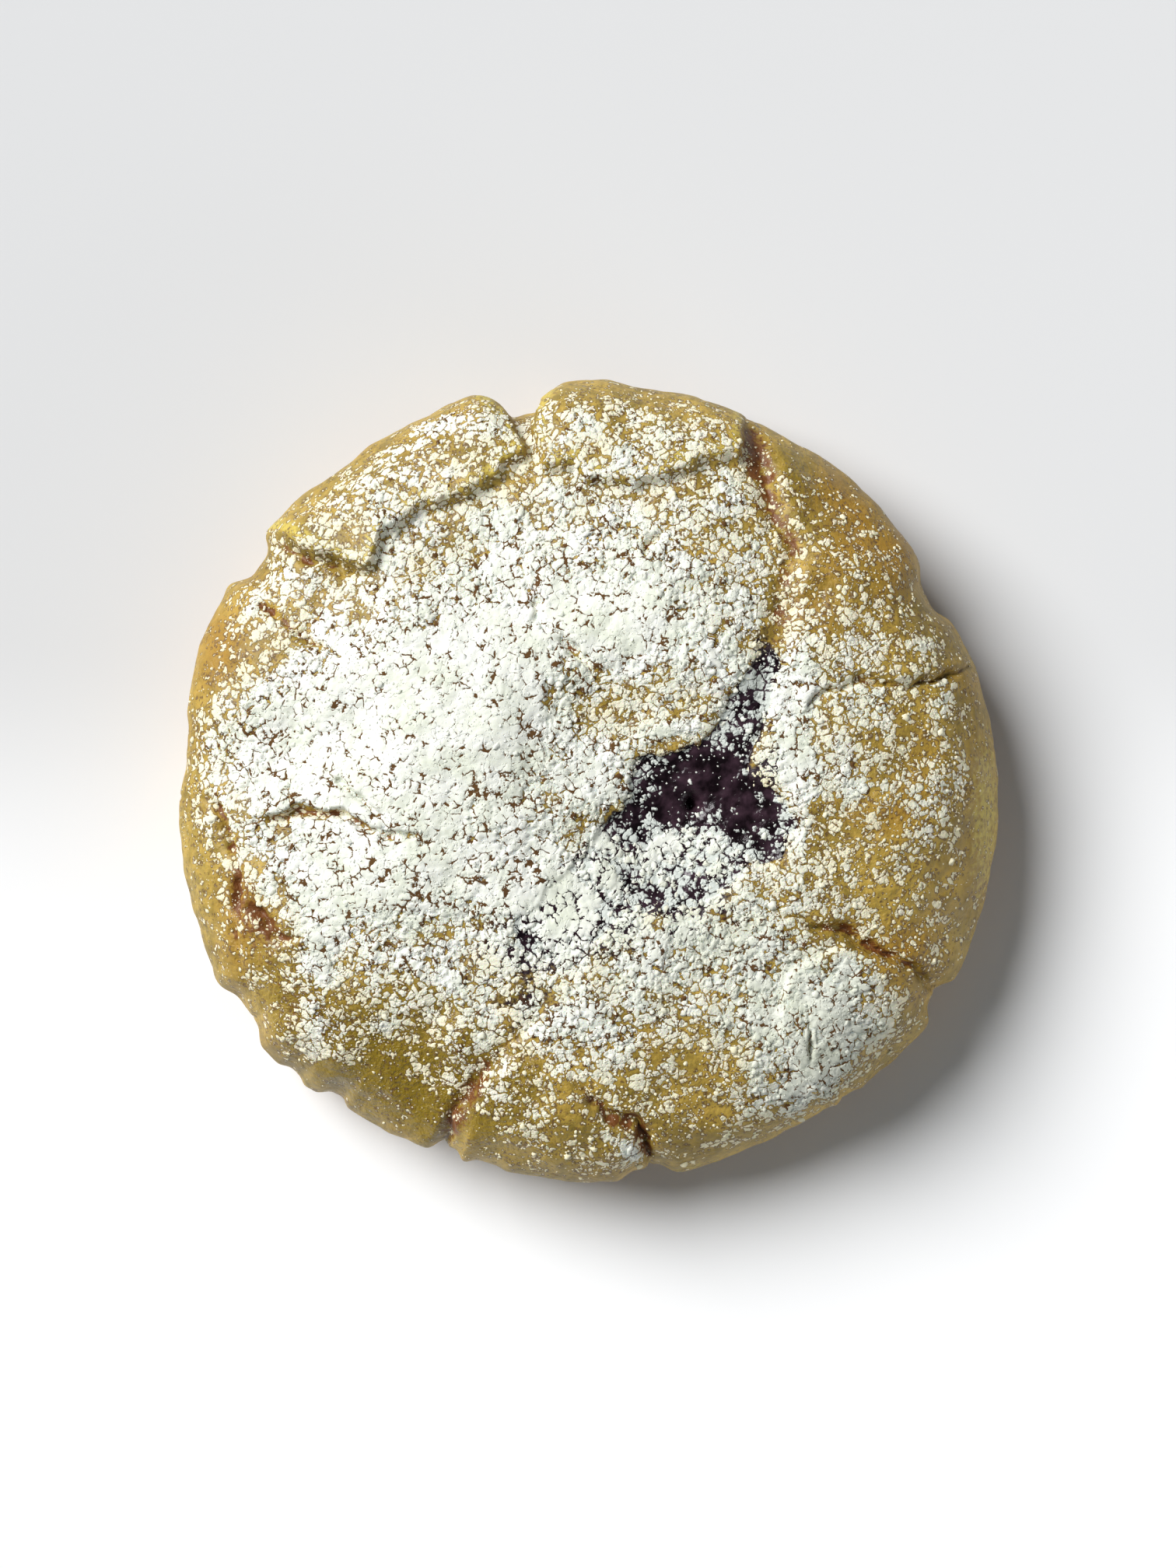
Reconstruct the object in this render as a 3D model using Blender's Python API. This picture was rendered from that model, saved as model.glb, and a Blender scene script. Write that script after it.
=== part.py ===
"""Cherry clafoutis cookie: a thick, cracked cookie whose split top shows the cherry filling.

Blender script, +Z up. Shapes are worked out in millimetres and written in metres. The origin is
at the middle of the flat base, +Y runs towards the notch in the far rim.
"""

import math

import bmesh
import bpy
import numpy as np
from mathutils import noise

MM = 0.001

# Driving dimensions, in millimetres
MEAN_RADIUS = 44.95
HEIGHT = 23.0
WIDEST_LEVEL = 8.0
BASE_SHARE = 0.90
FULLNESS = 2.7
DOUGH_RINGS = 110
TOP_RINGS_SHARE = 0.80
TOP_EDGE_SHARE = 0.94
SIDE_VIEW_POINTS = 400
BASE_CURVE_POINTS = 120
SLOPE_STEP = 0.002
DOUGH_TRIANGLES = 9600
BASE_SNAP = 0.25
RELIEF_LOW = 1.0
RELIEF_HIGH = 6.0

# The outline's broad lobes: (waves round the rim, height in mm, direction of the crest in degrees)
LOBES = (
    (1, 0.43, -145.0),
    (2, 0.65, -2.0),
    (3, 0.53, -28.0),
    (4, 0.21, -43.0),
    (5, 0.32, -5.0),
    (6, 0.32, -28.0),
)
# Places where the rim opens at a crack or swells: (degrees, depth in mm, half width in degrees)
NOTCHES = (
    (29.0, 1.4, 3.8),
    (67.0, -0.3, 19.0),
    (99.8, 3.0, 4.6),
    (146.5, 1.9, 3.4),
    (175.5, 0.8, 5.0),
    (213.5, 1.6, 4.2),
    (224.5, 0.6, 1.8),
    (231.0, 0.9, 1.8),
    (249.0, 1.7, 2.2),
    (255.0, 0.8, 2.6),
    (278.5, 1.3, 3.2),
    (303.0, 0.5, 4.5),
    (310.0, 0.5, 1.6),
    (328.5, 1.5, 2.6),
)
NOTCH_FLATNESS = 4
NOTCH_DRAW_IN = 8
NOTCH_LOW = -4.0
NOTCH_HIGH = 6.0

# Broken plates of crust that stand proud of the rest: (lift in mm, outline in mm)
PLATES = (
    (
        1.7,
        ((-52.0, 30.0), (-35.6, 28.0), (-30.6, 25.6), (-23.7, 23.4), (-21.9, 27.1), (-17.3, 29.9),
         (-13.5, 30.9), (-9.8, 33.1), (-6.9, 35.8), (-8.6, 40.1), (-11.2, 43.2), (-14.0, 56.0)),
    ),
    (
        1.5,
        ((-4.6, 56.0), (-4.9, 43.8), (-5.4, 41.0), (-5.7, 36.4), (-4.6, 34.2), (-1.6, 34.6),
         (-0.4, 32.8), (4.4, 31.9), (7.5, 32.5), (11.3, 34.2), (16.2, 35.0), (17.2, 39.8), (20.0, 56.0)),
    ),
    (
        0.9,
        ((56.0, 14.0), (41.5, 12.9), (37.0, 11.7), (33.6, 10.9), (29.4, 12.0), (25.9, 10.8),
         (23.4, 8.2), (21.6, 13.0), (22.5, 18.5), (23.3, 23.0), (21.4, 29.0), (19.6, 34.0),
         (19.0, 40.2), (24.0, 56.0)),
    ),
    (
        0.8,
        ((38.2, -23.6), (35.0, -20.4), (31.7, -18.8), (28.0, -17.2), (22.0, -20.0), (20.0, -27.0),
         (24.0, -33.0), (31.0, -37.0), (60.0, -40.0)),
    ),
    (
        1.0,
        ((-15.4, -56.0), (-15.4, -39.9), (-14.0, -36.0), (-11.6, -32.4), (-7.6, -29.6), (-2.2, -31.2),
         (0.4, -34.4), (4.8, -37.0), (6.0, -39.4), (6.6, -43.5), (7.0, -56.0)),
    ),
)
PLATE_EDGE = 0.55
PLATE_REACH = 15.0
PLATE_FAR_SHARE = 0.25
PLATE_RIM_SHARE = 0.1
PLATE_RIM_WIDTH = 5.0

# How the cracks run out: downwards, towards the rim, towards their end, and the step of their one side
CRACK_LOW = 1.5
CRACK_HIGH = 11.0
CRACK_RIM_SHARE = 0.2
CRACK_RIM_WIDTH = 6.0
CRACK_TAPER = 0.6
CRACK_TAPER_START = 0.55
CRACK_LEAST_WIDTH = 0.5
STEP_START = 0.2
STEP_FULL = 1.0
STEP_REACH = 3.0

# Cracks: (depth mm, half width mm, side step mm, points mm). The step lifts the ground on the path's left.
CRACKS = (
    (1.7, 1.5, -0.4, ((17.6, 46.0), (17.8, 39.8), (18.5, 35.7), (19.9, 30.8), (21.3, 26.4),
                      (21.8, 22.1), (20.6, 18.4), (19.5, 15.3), (18.7, 10.9), (19.0, 6.6), (17.5, 2.9))),
    (1.5, 0.8, 0.3, ((47.0, 14.0), (39.2, 11.9), (36.7, 11.1), (33.6, 10.3), (29.2, 11.3), (25.8, 10.0),
                     (23.0, 7.2), (22.2, 3.4))),
    (2.1, 0.9, 0.6, ((43.0, -27.0), (38.2, -23.2), (36.4, -21.0), (35.1, -19.7), (31.7, -18.2),
                     (28.6, -16.3), (23.7, -15.1), (19.3, -13.5))),
    (2.1, 1.0, -0.5, ((7.2, -48.0), (6.9, -43.0), (6.3, -39.3), (5.1, -37.1), (0.7, -34.6), (-2.1, -31.5))),
    (1.7, 1.0, -0.4, ((-16.2, -45.0), (-15.7, -39.9), (-14.3, -36.2), (-12.0, -32.5), (-8.6, -27.8),
                      (-5.5, -25.3))),
    (1.5, 0.8, 0.3, ((-50.0, -1.0), (-45.2, -1.5), (-41.4, -1.5), (-39.9, -4.2), (-38.5, -8.3),
                     (-38.4, -12.0), (-38.7, -17.2), (-36.6, -24.0))),
    (1.5, 0.8, -0.4, ((-36.2, -13.6), (-34.6, -15.4), (-33.2, -16.6), (-30.8, -16.3))),
    (1.4, 0.6, 0.5, ((-34.1, -3.6), (-31.5, -3.0), (-26.6, -3.3), (-23.5, -4.9), (-21.6, -5.6),
                     (-18.6, -5.8))),
    (1.0, 0.5, 0.3, ((-26.9, 0.4), (-25.0, -1.5), (-22.5, -3.3), (-21.6, -5.4))),
    (1.4, 0.6, -0.5, ((-36.2, 19.8), (-32.5, 17.3), (-29.7, 15.3), (-26.8, 13.6))),
    (1.1, 0.7, 0.4, ((-5.9, 19.6), (-4.9, 17.1), (-3.1, 15.8), (-0.5, 13.7), (1.3, 11.6))),
    (0.9, 0.5, 0.3, ((6.0, 24.8), (6.9, 26.2), (8.2, 27.4))),
    (1.1, 0.5, 0.2, ((23.6, -25.4), (23.9, -28.9))),
    (1.3, 0.9, 0.4, ((-46.5, 25.6), (-40.0, 25.6), (-35.6, 26.6), (-30.6, 24.6), (-24.0, 22.6))),
    (1.5, 1.0, 0.0, ((-44.0, -31.0), (-38.0, -26.6), (-35.2, -24.4))),
    (1.3, 0.8, 0.0, ((29.6, -39.5), (28.4, -35.0), (27.6, -32.6))),
)

# Broad swells and hollows of the top: (x mm, y mm, radius mm, height mm)
SWELLS = (
    (-15.0, 5.5, 11.0, 1.5),
    (-21.0, -12.0, 7.0, 0.8),
    (7.5, 20.5, 8.0, 1.1),
    (33.0, -3.0, 9.0, 1.0),
    (26.0, -28.0, 8.0, 1.0),
    (31.0, 22.0, 8.0, 0.5),
    (4.0, -23.0, 7.0, 0.7),
    (-33.0, 4.3, 5.0, -1.5),
    (-26.0, 4.6, 4.0, -0.8),
    (1.5, 8.0, 5.0, -0.8),
    (-11.0, 25.0, 7.0, -0.9),
    (-28.0, 21.5, 5.0, -0.9),
    (-19.0, -31.0, 7.0, -0.9),
    (-8.0, 39.0, 3.0, -0.7),
)

# Uneven crust: (wavelength mm, height mm, place in the noise)
UNEVEN = ((16.0, 0.70, 3.1), (7.0, 0.50, 11.7), (3.4, 0.26, 27.3))
JAG_LENGTH = 3.0
JAG_SIZE = 0.55
JAG_PLACES = (51.3, 83.9)

# The pocket of cherry filling from above: middle, mean radius, arms (degrees, reach mm, half width degrees)
POCKET_MIDDLE = (11.0, -4.5)
POCKET_RADIUS = 7.4
POCKET_ARMS = (
    (0.0, 3.6, 24.0),
    (64.0, 13.0, 10.0),
    (216.0, 15.5, 17.0),
    (185.0, 1.6, 14.0),
    (262.0, 1.2, 22.0),
)
POCKET_RINGS = 13
POCKET_TOP_RINGS = 7
POCKET_DEPTH = 9.0
POCKET_RECESS = 0.8
POCKET_ARM_RECESS = 0.3
POCKET_SLOPE_STEP = 0.01
POCKET_DISH = 1.5
POCKET_DISH_START = -1.0
POCKET_DISH_EDGE = 5.0
POCKET_DISH_REACH = 12.0
FILLING_LUMP = 0.3
FILLING_LUMP_LENGTH = 5.0
FILLING_LUMP_PLACE = 7.7
GAP = 0.3
CUTTER_LIFT = 6.0
MERGE_DISTANCE = 1e-5

DOUGH_COLOUR = (0.46, 0.31, 0.085, 1.0)
DOUGH_ROUGHNESS = 0.6
FILLING_COLOUR = (0.035, 0.012, 0.02, 1.0)
FILLING_ROUGHNESS = 0.25


def smooth(low, high, value):
    """Rises from 0 at low to 1 at high along an S curve."""
    share = np.clip((value - low) / (high - low), 0.0, 1.0)
    return share * share * (3.0 - 2.0 * share)


def turn(degrees, centre):
    """The signed turn in degrees from centre, within half a circle either way."""
    return (degrees - centre + 180.0) % 360.0 - 180.0


def waves(points, wavelength, place):
    """Smooth random waves of the given length at each point, about -1 to 1."""
    scaled = points / wavelength + place
    return np.array([noise.noise(point) for point in scaled.tolist()])


def outline_radius(theta):
    """The cookie's radius at its widest level, in mm, in the direction theta, before its cracks."""
    radius = np.full_like(theta, MEAN_RADIUS)
    for count, height, crest in LOBES:
        radius += height * np.cos(count * (theta - math.radians(crest)))
    return radius


def notch_depth(theta):
    """How far the rim's cracks cut into the outline, in mm, in the direction theta."""
    depth_here = np.zeros_like(theta)
    for centre, depth, half_width in NOTCHES:
        depth_here += depth * np.exp(-((turn(np.degrees(theta), centre) / half_width) ** NOTCH_FLATNESS))
    return depth_here


def pocket_radius(theta):
    """The filling's reach from the middle of its pocket, in mm, in the direction theta."""
    radius = np.full_like(theta, POCKET_RADIUS)
    for centre, reach, half_width in POCKET_ARMS:
        radius += reach * np.exp(-((turn(np.degrees(theta), centre) / half_width) ** 2))
    return radius


def pocket_distance(x, y):
    """How far outside the pocket's outline a point lies, in mm, negative inside."""
    across, along = x - POCKET_MIDDLE[0], y - POCKET_MIDDLE[1]
    return np.hypot(across, along) - pocket_radius(np.arctan2(along, across))


def near_pocket_middle(x, y):
    """Falls from 1 at the pocket's middle to 0 out along its arms."""
    from_middle = np.hypot(x - POCKET_MIDDLE[0], y - POCKET_MIDDLE[1])
    return np.exp(-((from_middle / POCKET_DISH_REACH) ** 2))


def path_distance(x, y, path):
    """Distance to a path, which side of it the point is on, and how far along it, from 0 to 1."""
    points = np.array(path)
    lengths = np.hypot(*(points[1:] - points[:-1]).T)
    starts = np.concatenate([[0.0], np.cumsum(lengths)])
    nearest = np.full_like(x, np.inf)
    side = np.zeros_like(x)
    along = np.zeros_like(x)
    for start, end, length, begun in zip(points[:-1], points[1:], lengths, starts):
        run = (end - start) / length
        gone = np.clip((x - start[0]) * run[0] + (y - start[1]) * run[1], 0.0, length)
        out_x = x - start[0] - gone * run[0]
        out_y = y - start[1] - gone * run[1]
        distance = np.hypot(out_x, out_y)
        closer = distance < nearest
        nearest = np.where(closer, distance, nearest)
        side = np.where(closer, np.sign(run[0] * out_y - run[1] * out_x), side)
        along = np.where(closer, (begun + gone) / starts[-1], along)
    return nearest, side, along


def inside_distance(x, y, outline):
    """Distance to a closed outline, positive inside it."""
    corners = np.array(outline)
    following = np.roll(corners, -1, axis=0)
    inside = np.zeros(x.shape, bool)
    for (x0, y0), (x1, y1) in zip(corners, following):
        crosses = (y0 > y) != (y1 > y)
        rise = y1 - y0 if y1 != y0 else 1.0
        inside ^= crosses & (x < x0 + (y - y0) * (x1 - x0) / rise)
    distance, _, _ = path_distance(x, y, np.vstack([corners, corners[:1]]))
    return np.where(inside, distance, -distance)


def jagged(points):
    """The points' x and y, pushed about a little so that breaks run ragged."""
    x = points[:, 0] + JAG_SIZE * waves(points, JAG_LENGTH, JAG_PLACES[0])
    y = points[:, 1] + JAG_SIZE * waves(points, JAG_LENGTH, JAG_PLACES[1])
    return x, y


def relief(points):
    """How far the crust stands out from the smooth form, in mm, at points in mm."""
    x, y = jagged(points)
    from_rim = MEAN_RADIUS - np.hypot(points[:, 0], points[:, 1])
    opened = smooth(CRACK_LOW, CRACK_HIGH, points[:, 2])
    opened *= CRACK_RIM_SHARE + (1.0 - CRACK_RIM_SHARE) * smooth(0.0, CRACK_RIM_WIDTH, from_rim)
    proud = PLATE_RIM_SHARE + (1.0 - PLATE_RIM_SHARE) * smooth(0.0, PLATE_RIM_WIDTH, from_rim)
    out = np.zeros(len(points))
    for swell_x, swell_y, radius, height in SWELLS:
        out += height * np.exp(-((x - swell_x) ** 2 + (y - swell_y) ** 2) / radius**2)
    for lift, outline in PLATES:
        inside = inside_distance(x, y, outline)
        sink = (1.0 - PLATE_FAR_SHARE) * smooth(0.0, PLATE_REACH, inside)
        out += lift * proud * smooth(-PLATE_EDGE, PLATE_EDGE, inside) * (1.0 - sink)
    for depth, half_width, step, path in CRACKS:
        distance, side, along = path_distance(x, y, path)
        taper = (1.0 - CRACK_TAPER * smooth(CRACK_TAPER_START, 1.0, along)) * opened
        width = half_width * (CRACK_LEAST_WIDTH + taper)
        out -= depth * taper * np.clip(1.0 - distance / width, 0.0, 1.0)
        raised = np.clip(side, 0.0, 1.0) * smooth(STEP_START, STEP_FULL, distance)
        out += step * taper * raised * np.exp(-distance / STEP_REACH)
    dish = POCKET_DISH * near_pocket_middle(x, y)
    out -= dish * (1.0 - smooth(POCKET_DISH_START, POCKET_DISH_EDGE, pocket_distance(x, y)))
    for wavelength, height, place in UNEVEN:
        out += height * waves(points, wavelength, place)
    return out


def meridian(share):
    """The side view from 0 at the top to 1 at the base: radius share, level in mm, outward direction."""
    power = 2.0 / FULLNESS
    angle = np.linspace(math.pi / 2.0, 0.0, SIDE_VIEW_POINTS)
    radius = np.cos(angle) ** power
    level = WIDEST_LEVEL + (HEIGHT - WIDEST_LEVEL) * np.sin(angle) ** power
    low = np.linspace(0.0, math.pi / 2.0, BASE_CURVE_POINTS)[1:]
    radius = np.concatenate([radius, BASE_SHARE + (1.0 - BASE_SHARE) * np.cos(low)])
    level = np.concatenate([level, WIDEST_LEVEL * (1.0 - np.sin(low))])
    steps = np.hypot(np.diff(radius) * MEAN_RADIUS, np.diff(level))
    length = np.concatenate([[0.0], np.cumsum(steps)])
    length /= length[-1]
    edge = np.interp(TOP_EDGE_SHARE, radius[:SIDE_VIEW_POINTS], length[:SIDE_VIEW_POINTS])
    wanted = np.where(
        share < TOP_RINGS_SHARE,
        share / TOP_RINGS_SHARE * edge,
        edge + (share - TOP_RINGS_SHARE) / (1.0 - TOP_RINGS_SHARE) * (1.0 - edge),
    )
    after = np.clip(wanted + SLOPE_STEP, 0.0, 1.0)
    before = np.clip(wanted - SLOPE_STEP, 0.0, 1.0)
    run = (np.interp(after, length, radius) - np.interp(before, length, radius)) * MEAN_RADIUS
    fall = np.interp(after, length, level) - np.interp(before, length, level)
    size = np.hypot(run, fall)
    return np.interp(wanted, length, radius), np.interp(wanted, length, level), -fall / size, run / size


def disc_grid(rings):
    """A square grid and, for each of its points, its ring's share and its direction on a round disc."""
    mesh = bmesh.new()
    bmesh.ops.create_grid(mesh, x_segments=2 * rings, y_segments=2 * rings, size=1.0)
    flat = np.array([vertex.co[:2] for vertex in mesh.verts])
    across, along = flat[:, 0], flat[:, 1]
    ring = np.maximum(np.abs(across), np.abs(along))
    wide = np.abs(across) >= np.abs(along)
    eighth = math.pi / 4.0
    sideways = np.where(across < 0.0, math.pi, 0.0)
    sideways += eighth * along / np.where(across == 0.0, 1.0, across)
    upright = np.where(along < 0.0, -2.0, 2.0) * eighth
    upright -= eighth * across / np.where(along == 0.0, 1.0, along)
    return mesh, ring, np.where(wide, sideways, upright)


def place(mesh, points):
    """Moves a bmesh's points to the given places in mm."""
    for vertex, point in zip(mesh.verts, points * MM):
        vertex.co = point


def new_object(name, mesh):
    """Turns a closed bmesh into a named object in the scene, its faces pointing out."""
    bmesh.ops.recalc_face_normals(mesh, faces=mesh.faces)
    if mesh.calc_volume(signed=True) < 0.0:
        bmesh.ops.reverse_faces(mesh, faces=mesh.faces)
    data = bpy.data.meshes.new(name)
    mesh.to_mesh(data)
    mesh.free()
    piece = bpy.data.objects.new(name, data)
    bpy.context.scene.collection.objects.link(piece)
    return piece


def crust_points(ring, theta):
    """Points of the cookie's crust in mm, for ring shares and directions."""
    share, level, outward, upward = meridian(ring)
    open_rim = share**NOTCH_DRAW_IN * smooth(NOTCH_LOW, NOTCH_HIGH, level)
    reach = share * outline_radius(theta) - open_rim * notch_depth(theta)
    heading = np.column_stack([np.cos(theta), np.sin(theta)])
    points = np.column_stack([heading * reach[:, None], level])
    normal = np.column_stack([heading * outward[:, None], upward])
    fade = smooth(RELIEF_LOW, RELIEF_HIGH, level)
    points += normal * (relief(points) * fade)[:, None]
    points[:, 2] = np.maximum(points[:, 2], 0.0)
    return points


def make_dough():
    """The cookie's body: crust with plates, cracks and rim notches, on a flat base."""
    mesh, ring, theta = disc_grid(DOUGH_RINGS)
    points = crust_points(ring, theta)
    place(mesh, points)
    rim = [edge for edge in mesh.edges if edge.is_boundary]
    bmesh.ops.contextual_create(mesh, geom=rim)
    bmesh.ops.triangulate(mesh, faces=mesh.faces)
    dough = new_object("cookie_dough", mesh)
    thin_out(dough, DOUGH_TRIANGLES)
    return dough


def thin_out(piece, triangles):
    """Keeps the triangles where the shape turns, and puts the base back on its plane."""
    decimate = piece.modifiers.new("fewer_faces", "DECIMATE")
    decimate.ratio = triangles / len(piece.data.polygons)
    graph = bpy.context.evaluated_depsgraph_get()
    thinned = bpy.data.meshes.new_from_object(piece.evaluated_get(graph))
    piece.modifiers.clear()
    full = piece.data
    piece.data = thinned
    bpy.data.meshes.remove(full)
    thinned.name = piece.name
    for vertex in thinned.vertices:
        if vertex.co.z < BASE_SNAP * MM:
            vertex.co.z = 0.0


def top_level(x, y):
    """Level of the crust's upper face in mm above points seen from above."""
    theta = np.arctan2(y, x)
    reach = np.hypot(x, y) / outline_radius(theta)
    smooth_level = WIDEST_LEVEL + (HEIGHT - WIDEST_LEVEL) * (1.0 - reach**FULLNESS) ** (1.0 / FULLNESS)
    points = np.column_stack([x, y, smooth_level])
    return smooth_level + relief(points)


def pocket_shell(name, clearance, lift):
    """The filling's form, grown by the clearance, its upper face raised by lift, all in mm."""
    mesh, ring, theta = disc_grid(POCKET_RINGS)
    ring = np.round(ring * POCKET_RINGS)
    upper = ring <= POCKET_TOP_RINGS
    bowl = (ring - POCKET_TOP_RINGS - 1) / (POCKET_RINGS - POCKET_TOP_RINGS - 1)
    bowl = np.clip(bowl, 0.0, 1.0) * math.pi / 2.0
    share = np.where(upper, ring / POCKET_TOP_RINGS, np.cos(bowl))
    radius = pocket_radius(theta)
    slope = (pocket_radius(theta + POCKET_SLOPE_STEP) - radius) / POCKET_SLOPE_STEP / radius
    heading = np.column_stack([np.cos(theta), np.sin(theta)])
    flat = POCKET_MIDDLE + heading * (share * radius)[:, None]
    grown = flat + heading * (share * clearance * np.hypot(1.0, slope))[:, None]
    level_flat = np.column_stack([flat, np.zeros(len(flat))])
    lumps = FILLING_LUMP * waves(level_flat, FILLING_LUMP_LENGTH, FILLING_LUMP_PLACE)
    in_middle = near_pocket_middle(flat[:, 0], flat[:, 1])
    recess = POCKET_ARM_RECESS + (POCKET_RECESS - POCKET_ARM_RECESS) * in_middle
    top = top_level(flat[:, 0], flat[:, 1]) - recess + lumps * in_middle
    deep = HEIGHT - POCKET_DEPTH - clearance
    level = np.where(upper, top + lift, top + (deep - top) * np.sin(bowl))
    place(mesh, np.column_stack([grown, level]))
    bmesh.ops.remove_doubles(mesh, verts=mesh.verts, dist=MERGE_DISTANCE)
    bmesh.ops.triangulate(mesh, faces=mesh.faces, quad_method="FIXED")
    return new_object(name, mesh)


def open_pocket(dough):
    """Cuts the pocket for the filling out of the dough."""
    cutter = pocket_shell("pocket_cutter", GAP, CUTTER_LIFT)
    cutter.hide_render = True
    cutter.display_type = "WIRE"
    cut = dough.modifiers.new("pocket", "BOOLEAN")
    cut.operation = "DIFFERENCE"
    cut.object = cutter
    return cutter


def finish(piece, colour, roughness):
    """Gives a piece its own material and smooth shading."""
    material = bpy.data.materials.new(piece.name)
    material.use_nodes = True
    shader = material.node_tree.nodes["Principled BSDF"]
    shader.inputs["Base Color"].default_value = colour
    shader.inputs["Roughness"].default_value = roughness
    shader.inputs["Metallic"].default_value = 0.0
    piece.data.materials.append(material)
    piece.data.shade_smooth()


def centre(dough, others):
    """Moves everything so that the origin is under the middle of the cookie's box."""
    corners = np.array([vertex.co[:2] for vertex in dough.data.vertices])
    middle = (corners.min(axis=0) + corners.max(axis=0)) / 2.0
    for piece in (dough, *others):
        for vertex in piece.data.vertices:
            vertex.co.x -= middle[0]
            vertex.co.y -= middle[1]


def main():
    """Builds the cookie."""
    for old in list(bpy.data.objects):
        bpy.data.objects.remove(old)
    dough = make_dough()
    filling = pocket_shell("cherry_filling", 0.0, 0.0)
    cutter = open_pocket(dough)
    centre(dough, (filling, cutter))
    finish(dough, DOUGH_COLOUR, DOUGH_ROUGHNESS)
    finish(filling, FILLING_COLOUR, FILLING_ROUGHNESS)


main()
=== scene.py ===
"""The looks of a cherry clafoutis cookie: a cracked golden crust, dark cherry filling in its split
top and a drift of powdered sugar, seen from above on a pale studio floor.

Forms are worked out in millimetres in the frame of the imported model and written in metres.
"""

import logging
import math
from dataclasses import dataclass, field
from enum import Enum

import bmesh
import bpy
import numpy as np
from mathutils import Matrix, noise
from mathutils.bvhtree import BVHTree


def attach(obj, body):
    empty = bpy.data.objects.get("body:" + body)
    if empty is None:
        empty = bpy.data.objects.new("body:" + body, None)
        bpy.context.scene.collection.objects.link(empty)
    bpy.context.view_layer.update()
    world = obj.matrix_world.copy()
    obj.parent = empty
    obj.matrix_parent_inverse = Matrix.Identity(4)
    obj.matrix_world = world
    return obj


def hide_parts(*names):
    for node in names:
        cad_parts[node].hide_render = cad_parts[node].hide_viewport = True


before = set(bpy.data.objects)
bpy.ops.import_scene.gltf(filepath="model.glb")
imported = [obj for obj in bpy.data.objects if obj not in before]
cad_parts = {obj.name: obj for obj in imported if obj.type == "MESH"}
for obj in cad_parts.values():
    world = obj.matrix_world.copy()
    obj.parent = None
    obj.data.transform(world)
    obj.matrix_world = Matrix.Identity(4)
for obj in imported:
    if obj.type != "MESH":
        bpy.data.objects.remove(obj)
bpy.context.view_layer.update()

MM = 0.001
BODY = "root"
log = logging.getLogger("clafoutis_cookie")

Array = np.ndarray
Point = tuple[float, float]
Span = tuple[float, float]
Socket = bpy.types.NodeSocket

# What turns a cell's place into random numbers: factors, shifts with factors, and masks.
CELL_PRIMES = (73856093, 19349663, 83492791)
SEED_PRIME = 2654435761
STIRS = ((13, 1274126177), (16, 2246822519))
WORD = 0xFFFFFFFF
TEN_BITS = 1023


def linear(hex_colour: str) -> tuple[float, float, float, float]:
    """Turns an sRGB hex colour into the linear colour that shaders take.

    Args:
        hex_colour: Six hex digits after a hash, such as "#C39A4E".

    Returns:
        Red, green, blue and an alpha of 1.
    """
    shares = [int(hex_colour[i:i + 2], 16) / 255.0 for i in (1, 3, 5)]
    red, green, blue = (s / 12.92 if s <= 0.04045 else ((s + 0.055) / 1.055) ** 2.4 for s in shares)
    return red, green, blue, 1.0


def add_node(
    tree: bpy.types.NodeTree,
    kind: str,
    values: dict | None = None,
    links: dict | None = None,
    **settings: object,
) -> bpy.types.Node:
    """Adds one shader node with its settings, input values and links.

    Args:
        tree: The node tree that takes the node.
        kind: The node's type, such as "ShaderNodeTexNoise".
        values: Input values, by the input's name or number.
        links: The outputs that feed inputs, by the input's name or number.
        **settings: The node's own options.

    Returns:
        The new node.
    """
    node = tree.nodes.new(kind)
    for name, value in settings.items():
        setattr(node, name, value)
    for name, value in (values or {}).items():
        node.inputs[name].default_value = value
    for name, output in (links or {}).items():
        tree.links.new(output, node.inputs[name])
    return node


def per_metre(size_mm: float) -> float:
    """The texture scale that gives a pattern this many millimetres across."""
    return 1.0 / (size_mm * MM)


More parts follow.
